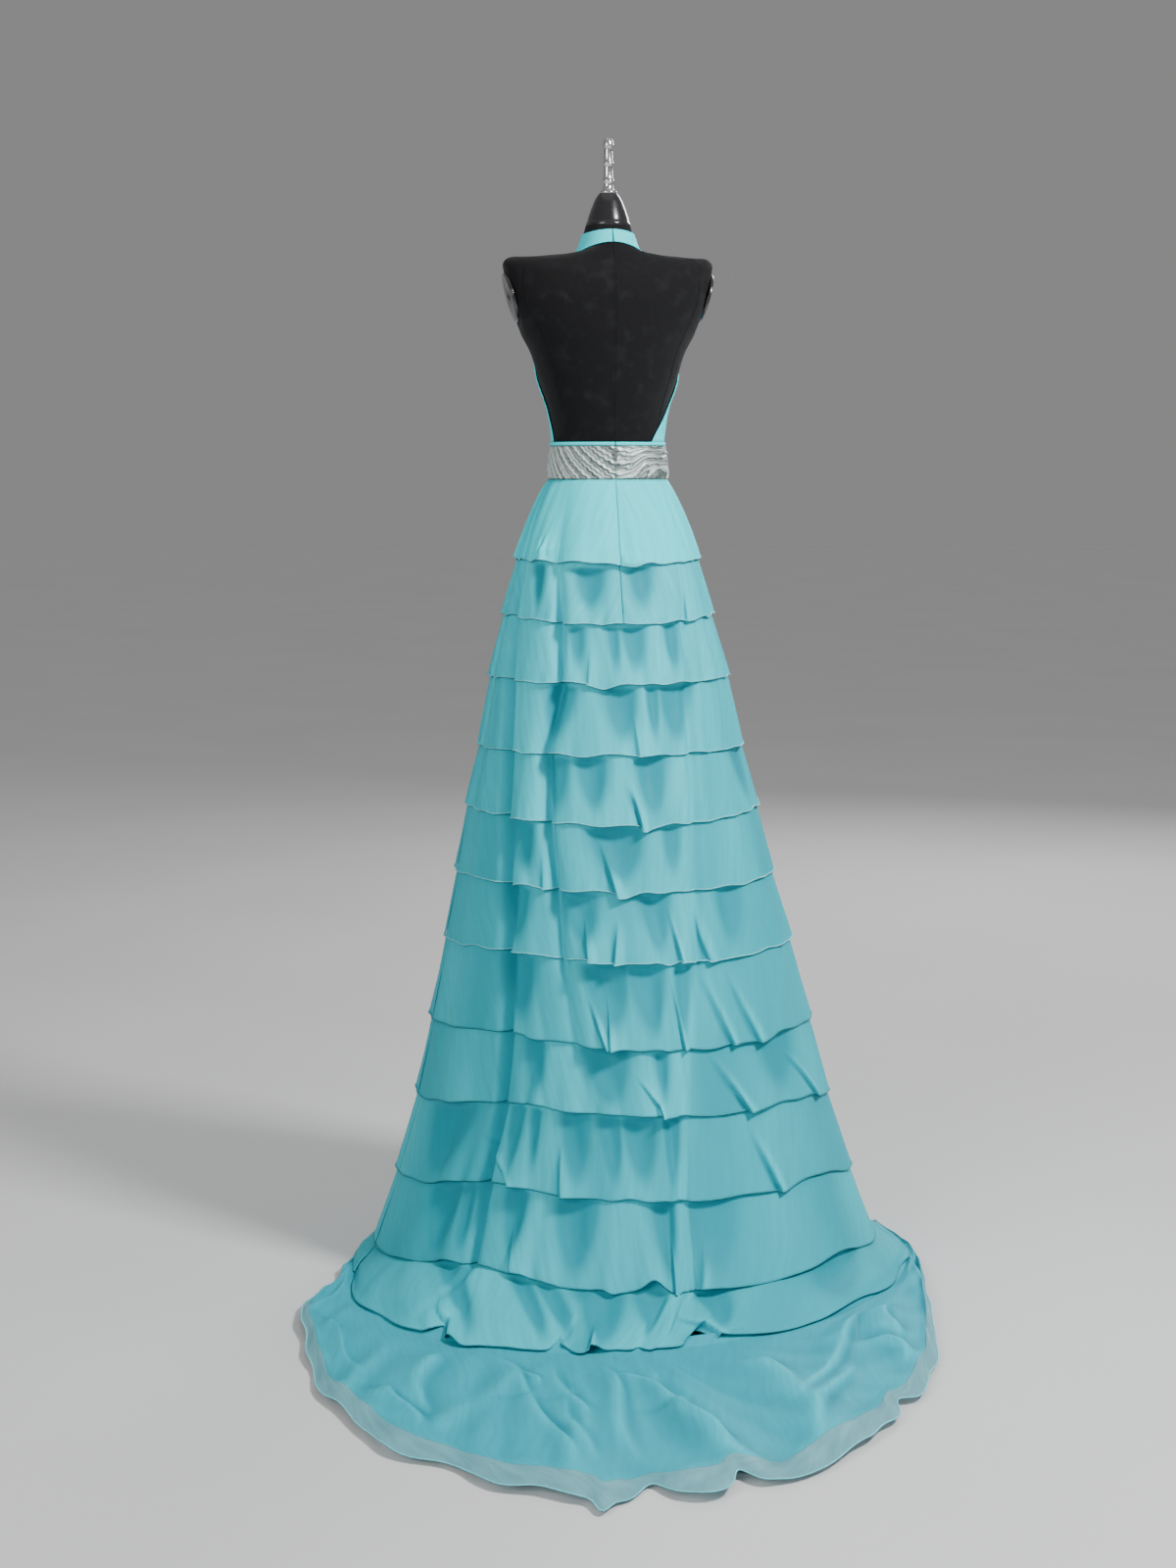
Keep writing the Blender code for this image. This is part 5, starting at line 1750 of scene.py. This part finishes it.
@dataclass
class Train:
    """The train: one long flounce on the floor, its chiffon a little longer than its lining."""

    skirt: Skirt
    ends: float = 114.0
    curl: float = 0.006
    curls: int = 13
    columns: int = 520
    rows: int = 90
    crease: float = 2.4
    lining_edge: float = 0.915
    thickness: float = 0.0010
    border_lap: float = 0.03
    border_rows: int = 18
    border_thickness: float = 0.0004
    border_raised: float = 0.0014
    roll: float = 0.0012

    def crease_lift(self, points: Array) -> Array:
        """The creases: height * exp(-(distance / width) ** 1.4), narrow at one side and wide at the other.

        The distance is to the run between a crease's ends, bent by a gentle sine. The crease fades from a
        quarter of its length inside each end to a fifth outside.

        Args:
            points: Points of the skirt's surface.

        Returns:
            Metres, the highest crease's at each point.
        """
        lift = np.zeros(points.shape[:-1])
        for start, end, height in TRAIN_CREASES:
            start, end = np.array(start), np.array(end)
            way = (end - start) / np.linalg.norm(end - start)
            rel = points[..., :2] - start
            along = rel @ way / np.linalg.norm(end - start)
            beside = rel @ np.array([-way[1], way[0]]) + 0.012 * np.sin(along * 5.0 + start[0] * 30)
            width = np.where(beside > 0, 0.0105, 0.044)
            fade = ease(along, -0.20, 0.25) * (1 - ease(along, 0.70, 1.20))
            lift = np.maximum(lift, self.crease * height * np.exp(-((np.abs(beside) / width) ** 1.4)) * fade)
        return lift

    def lift(self, angle: Array, level: Array) -> Array:
        """How far the cloth stands off the floor: ridges, creases, ripples and the curled hem.

        Args:
            angle: Cloth angles.
            level: Levels of the skirt, past the floor's.

        Returns:
            Metres: bells for the ridges, seeded waves for the ripples and a sine for the curl.
        """
        lift = np.zeros_like(angle)
        for ridge in TRAIN_RIDGES:
            along = np.clip((level - ridge.level_in) / (ridge.level_out - ridge.level_in), 0, 1)
            middle = ridge.angle_in + (ridge.angle_out - ridge.angle_in) * along
            apart = np.radians(angle - middle) * (0.50 + 0.30 * along) / ridge.half_width
            lift += 0.7 * ridge.height * np.exp(-(apart**2)) * ease(level, ridge.level_in, ridge.level_in + 0.5)
        lift *= 1 - 0.7 * ease(level, 12.75, 13.0)
        curl = 0.5 - 0.5 * np.cos(self.curls * np.radians(angle) + 1.2 * np.sin(np.radians(3 * angle)))
        lift += self.curl * curl * ease(level, 12.72, 13) * (1 - 0.8 * ease(np.abs(angle), 86, 106))
        free = ease(level, 12.02, 12.35)
        lying = (1 - 0.6 * ease(level, 12.85, 13.0)) * (1 - 0.8 * ease(np.abs(angle), 86, 106))
        lift += 0.0060 * free * (1 + waves(angle + 9 * (level - 12), 33, 9, 24)) * lying
        lift += 0.0020 * free * (1 + waves(angle - 14 * (level - 12), 34, 28, 60)) * lying
        lift += 0.0050 * (1 + waves(angle + 20 * (level - 12), 37, 20, 48)) * ease(level, 12.80, 12.95) * lying
        return lift + self.crease_lift(self.skirt.surface(angle, level)) * free * lying

    def tone(self, angle: Array, level: Array) -> Array:
        """The colour's share of the paler aqua, 0 to 1: paler on the crests of the train's folds, deeper in their
        hollows, partly as the lining showing through and partly as painted light and shade.

        It is 0.55 + 85 * the lift's difference, in metres, from its mean over four places about 20 mm away.

        Args:
            angle: Cloth angles.
            level: Levels of the skirt.

        Returns:
            From 0 to 1.
        """
        lift = self.lift(angle, level)
        near = [self.lift(angle + turn, level + step) for turn, step in ((2, 0), (-2, 0), (0, 0.03), (0, -0.03))]
        return np.clip(0.55 + 85 * (lift - sum(near) / 4), 0, 1)

    def points(self, first: float, last: float, rows: int, raised: float = 0.0) -> tuple[Array, Array]:
        """The outer face between two shares of the train's length, and its tone.

        Args:
            first: The share at its top row.
            last: The share at its last row, 1 at the train's hem.
            rows: Rows of points.
            raised: Metres over the train's own face.

        Returns:
            Rows by columns of points, rows downwards; and each point's tone, its painted light and shade.
        """
        share = np.linspace(first, last, rows)
        angle, level = np.meshgrid(np.linspace(-self.ends, self.ends, self.columns), FLOOR_LEVEL + share)
        level = level + 0.012 * waves(angle, 51, 6, 22) * ease(share[:, None], last - 0.2, last) * (last < 1)
        points = self.skirt.over(angle, level, self.lift(angle, level) + raised)
        inner, outer = (self.skirt.ring(angle, np.full_like(angle, at)) for at in (FLOOR_LEVEL, TRAIN_LEVEL))
        way = (outer - inner) * (1, 1, 0)
        way /= np.linalg.norm(way, axis=-1, keepdims=True)
        out = 0.0050 * waves(angle, 41, 18, 48) + hem_turn(angle, HEM_TURNS["train"])
        out = out * ease(level, 12.78, 13.0) * (1 - ease(np.abs(angle), 90, 108))
        return points + out[..., None] * way, self.tone(angle, level)

    def build(self, paint: bpy.types.Material, veil_paint: bpy.types.Material,
              hem_paint: bpy.types.Material) -> None:
        """Builds the train, the sheer border beyond its lining, and its rolled hem.

        Args:
            paint: The lined cloth's finish.
            veil_paint: The sheer border's finish.
            hem_paint: The rolled hem's finish.
        """
        points, tone = self.points(-LAP_SHARE, self.lining_edge, self.rows)
        cloth = dress(add_sheet("train_cloth", points, self.thickness), paint)
        # The tone paints light on the folds' crests and shade in their hollows.
        set_values(cloth, "tone", tone)
        border, tone = self.points(self.lining_edge - self.border_lap, 1.0, self.border_rows, self.border_raised)
        veil = dress(add_sheet("train_border", border, self.border_thickness), veil_paint)
        # The border's tone paints light and shade in the same way.
        set_values(veil, "tone", tone)
        path = border[-1].copy()
        path[:, 2] = np.maximum(path[:, 2], self.roll + 0.0001)
        hem = dress(add_hem("train_hem", path, self.roll), hem_paint)
        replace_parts(cloth, "train")
        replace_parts(veil, "train")
        log.info("built %s and %s", cloth.name, veil.name)


# ---------------------------------------------------------------- the zip


@dataclass
class Zip:
    """The centre-back zip: its tape, coil of teeth, slider and pull."""

    waistband: Waistband
    skirt: Skirt
    pitch: float = 0.0016
    tooth: float = 0.0011
    tooth_steps: int = 5

    def line(self) -> Array:
        """Points down the middle of the opening, just behind the band and the yoke.

        Returns:
            n by 3 points.
        """
        heights = np.linspace(0.97, 0.02, 60)
        band = self.waistband.out(self.waistband.surface(np.zeros_like(heights), heights), -0.0012)
        levels = np.linspace(0.06, 0.90, 120)
        yoke = self.skirt.over(np.zeros_like(levels), levels, np.full_like(levels, -0.0006))
        return np.concatenate([band, yoke])

    def build_teeth(self) -> bpy.types.Object:
        """The coil: short arched teeth on both sides of the middle, one every pitch.

        Each tooth is a small grid bent over the middle line: across u it runs from side to side, and its
        height is 0.5 mm * (1 - u ** 2).

        Returns:
            The teeth as one piece.
        """
        line = self.line()
        run = np.concatenate([[0], np.linalg.norm(np.diff(line, axis=0), axis=1).cumsum()])
        places = np.arange(0.004, run[-1], self.pitch)
        centre = np.stack([np.interp(places, run, line[:, axis]) for axis in range(3)], axis=-1)
        across = np.linspace(-1, 1, self.tooth_steps)
        turn = np.linspace(0, 2 * np.pi, self.tooth_steps, endpoint=False)
        local_x = across[None, :, None] * self.tooth + 0 * turn
        local_y = (1 - across**2)[None, :, None] * 0.0005 + 0.00032 * np.sin(turn)
        local_z = 0.00045 * np.cos(turn) + 0 * across[None, :, None]
        grid = np.stack(np.broadcast_arrays(local_x, local_y, local_z), axis=-1)
        points = centre[:, None, None] + grid
        one = grid_faces(self.tooth_steps, self.tooth_steps, round_columns=True)
        faces = (one[None] + self.tooth_steps**2 * np.arange(len(centre))[:, None, None]).reshape(-1, 4)
        return add_piece("zip_teeth", points, faces, np.zeros((points.size // 3, 2)))

    def build(self, aqua: bpy.types.Material) -> None:
        """Dresses the zip's CAD nodes and adds its teeth.

        Args:
            aqua: The tape's and the teeth's finish.
        """
        steel = Metal("zip metal", (0.74, 0.78, 0.78), 0.20).make()
        teeth = dress(self.build_teeth(), aqua)
        for node, material in (("zip_tape", aqua), ("zip_slider", steel), ("zip_pull", steel)):
            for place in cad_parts[node].material_slots:
                place.material = material
        log.info("built %s", teeth.name)


# ---------------------------------------------------------------- the studio


@dataclass
class Room:
    """The floor, the lights and the camera at the photograph's own viewing angle."""

    distance: float = 4.7
    height: float = 1.42
    swing: float = 9.0
    aside: float = math.atan(20 / 2700)
    pitch: float = 6.9
    lens: float = 60.75
    floor_reach: float = 40.0
    overhead: float = 0.32
    floor_gap: float = 0.0006

    def build_floor(self) -> None:
        """A wide flat pale floor, just under the gown's lowest points."""
        x, y = np.meshgrid(np.linspace(-self.floor_reach, self.floor_reach, 9),
                           np.linspace(self.floor_reach, -self.floor_reach, 9))
        floor = add_piece("floor", np.stack([x, y, 0 * x - self.floor_gap], axis=-1), grid_faces(9, 9)[:, ::-1])
        floor.data.materials.append(Studio().make())

    def build_camera(self) -> None:
        """The camera: it stands swing degrees round from the back, looks a little aside and down."""
        swing, pitch = math.radians(self.swing), math.radians(self.pitch)
        towards = np.array([math.sin(swing), math.cos(swing)])
        right = np.array([-math.cos(swing), math.sin(swing)])
        ahead = -towards * math.cos(self.aside) - right * math.sin(self.aside)
        data = bpy.data.cameras.new("camera")
        data.lens, data.sensor_width, data.sensor_fit = self.lens, 36.0, "AUTO"
        camera = bpy.data.objects.new("camera", data)
        camera.location = (*(towards * self.distance), self.height)
        camera.rotation_euler = (math.pi / 2 - pitch, 0, math.atan2(ahead[1], ahead[0]) - math.pi / 2)
        bpy.context.scene.collection.objects.link(camera)
        bpy.context.scene.camera = camera

    def build_air(self) -> None:
        """The even light from overhead, and air as pale as the far floor, so that no horizon shows.

        Far off, the floor's radiance is albedo * (overhead / pi + air), which equals the air's own at
        air = overhead / pi * albedo / (1 - albedo).
        """
        data = bpy.data.lights.new("overhead", "SUN")
        data.energy, data.angle = self.overhead, math.radians(70)
        bpy.context.scene.collection.objects.link(bpy.data.objects.new("overhead", data))
        albedo = Studio().colour[0] * (1 + Studio().cloud) / 2
        world = bpy.data.worlds.new("studio air")
        world.use_nodes = True
        sky = world.node_tree.nodes["Background"].inputs
        sky[0].default_value = (1.0, 1.0, 1.0, 1.0)
        sky[1].default_value = self.overhead / math.pi * albedo / (1 - albedo)
        bpy.context.scene.world = world

    def build_light(self, name: str, place: Sequence[float], target: Sequence[float], size: float,
                    power: float) -> None:
        """One soft square light.

        Args:
            name: Its name.
            place: Where it hangs.
            target: What it points at.
            size: Its side in metres.
            power: In watts.
        """
        data = bpy.data.lights.new(name, "AREA")
        data.size, data.energy = size, power
        lamp = bpy.data.objects.new(name, data)
        lamp.location = place
        way = np.array(target, float) - np.array(place, float)
        flat = math.hypot(way[0], way[1])
        lamp.rotation_euler = (math.atan2(flat, -way[2]), 0, math.atan2(way[1], way[0]) - math.pi / 2)
        bpy.context.scene.collection.objects.link(lamp)

    def build(self) -> None:
        """Builds the floor, the camera and the lights."""
        self.build_floor()
        self.build_camera()
        self.build_light("key", (-2.2, 2.4, 3.7), (0, 0.3, 0.6), 0.8, 210)
        self.build_light("fill", (3.4, 4.2, 2.4), (0, 0.2, 0.8), 2.4, 125)
        self.build_light("front", (-2.6, -4.6, 3.2), (0, 0, 0.8), 1.6, 110)
        self.build_air()
        log.info("built the studio")


def main() -> None:
    """Builds each sub-assembly in order."""
    logging.basicConfig(level=logging.INFO, format="%(message)s")
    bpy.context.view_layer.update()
    Room().build()
    form, waistband, skirt = DressForm(), Waistband(), Skirt()
    form.build()
    paints = {use: chiffon.make() for use, chiffon in CHIFFONS.items()}
    Bodice(form).build(paints["bodice"])
    Neckband(form).build(paints["bodice"])
    waistband.build(Lame().make(), paints["bodice"])
    for number in range(len(TIER_NAMES)):
        Tier(number, skirt).build(
            paints["tiers" if number else "yoke"], paints["hem" if number < FIRST_SHADED_HEM else "shaded low hem"])
    Train(skirt).build(paints["train"], paints["border"], paints["hem"])
    Zip(waistband, skirt).build(paints["bodice"])


if __name__ == "__main__":
    main()
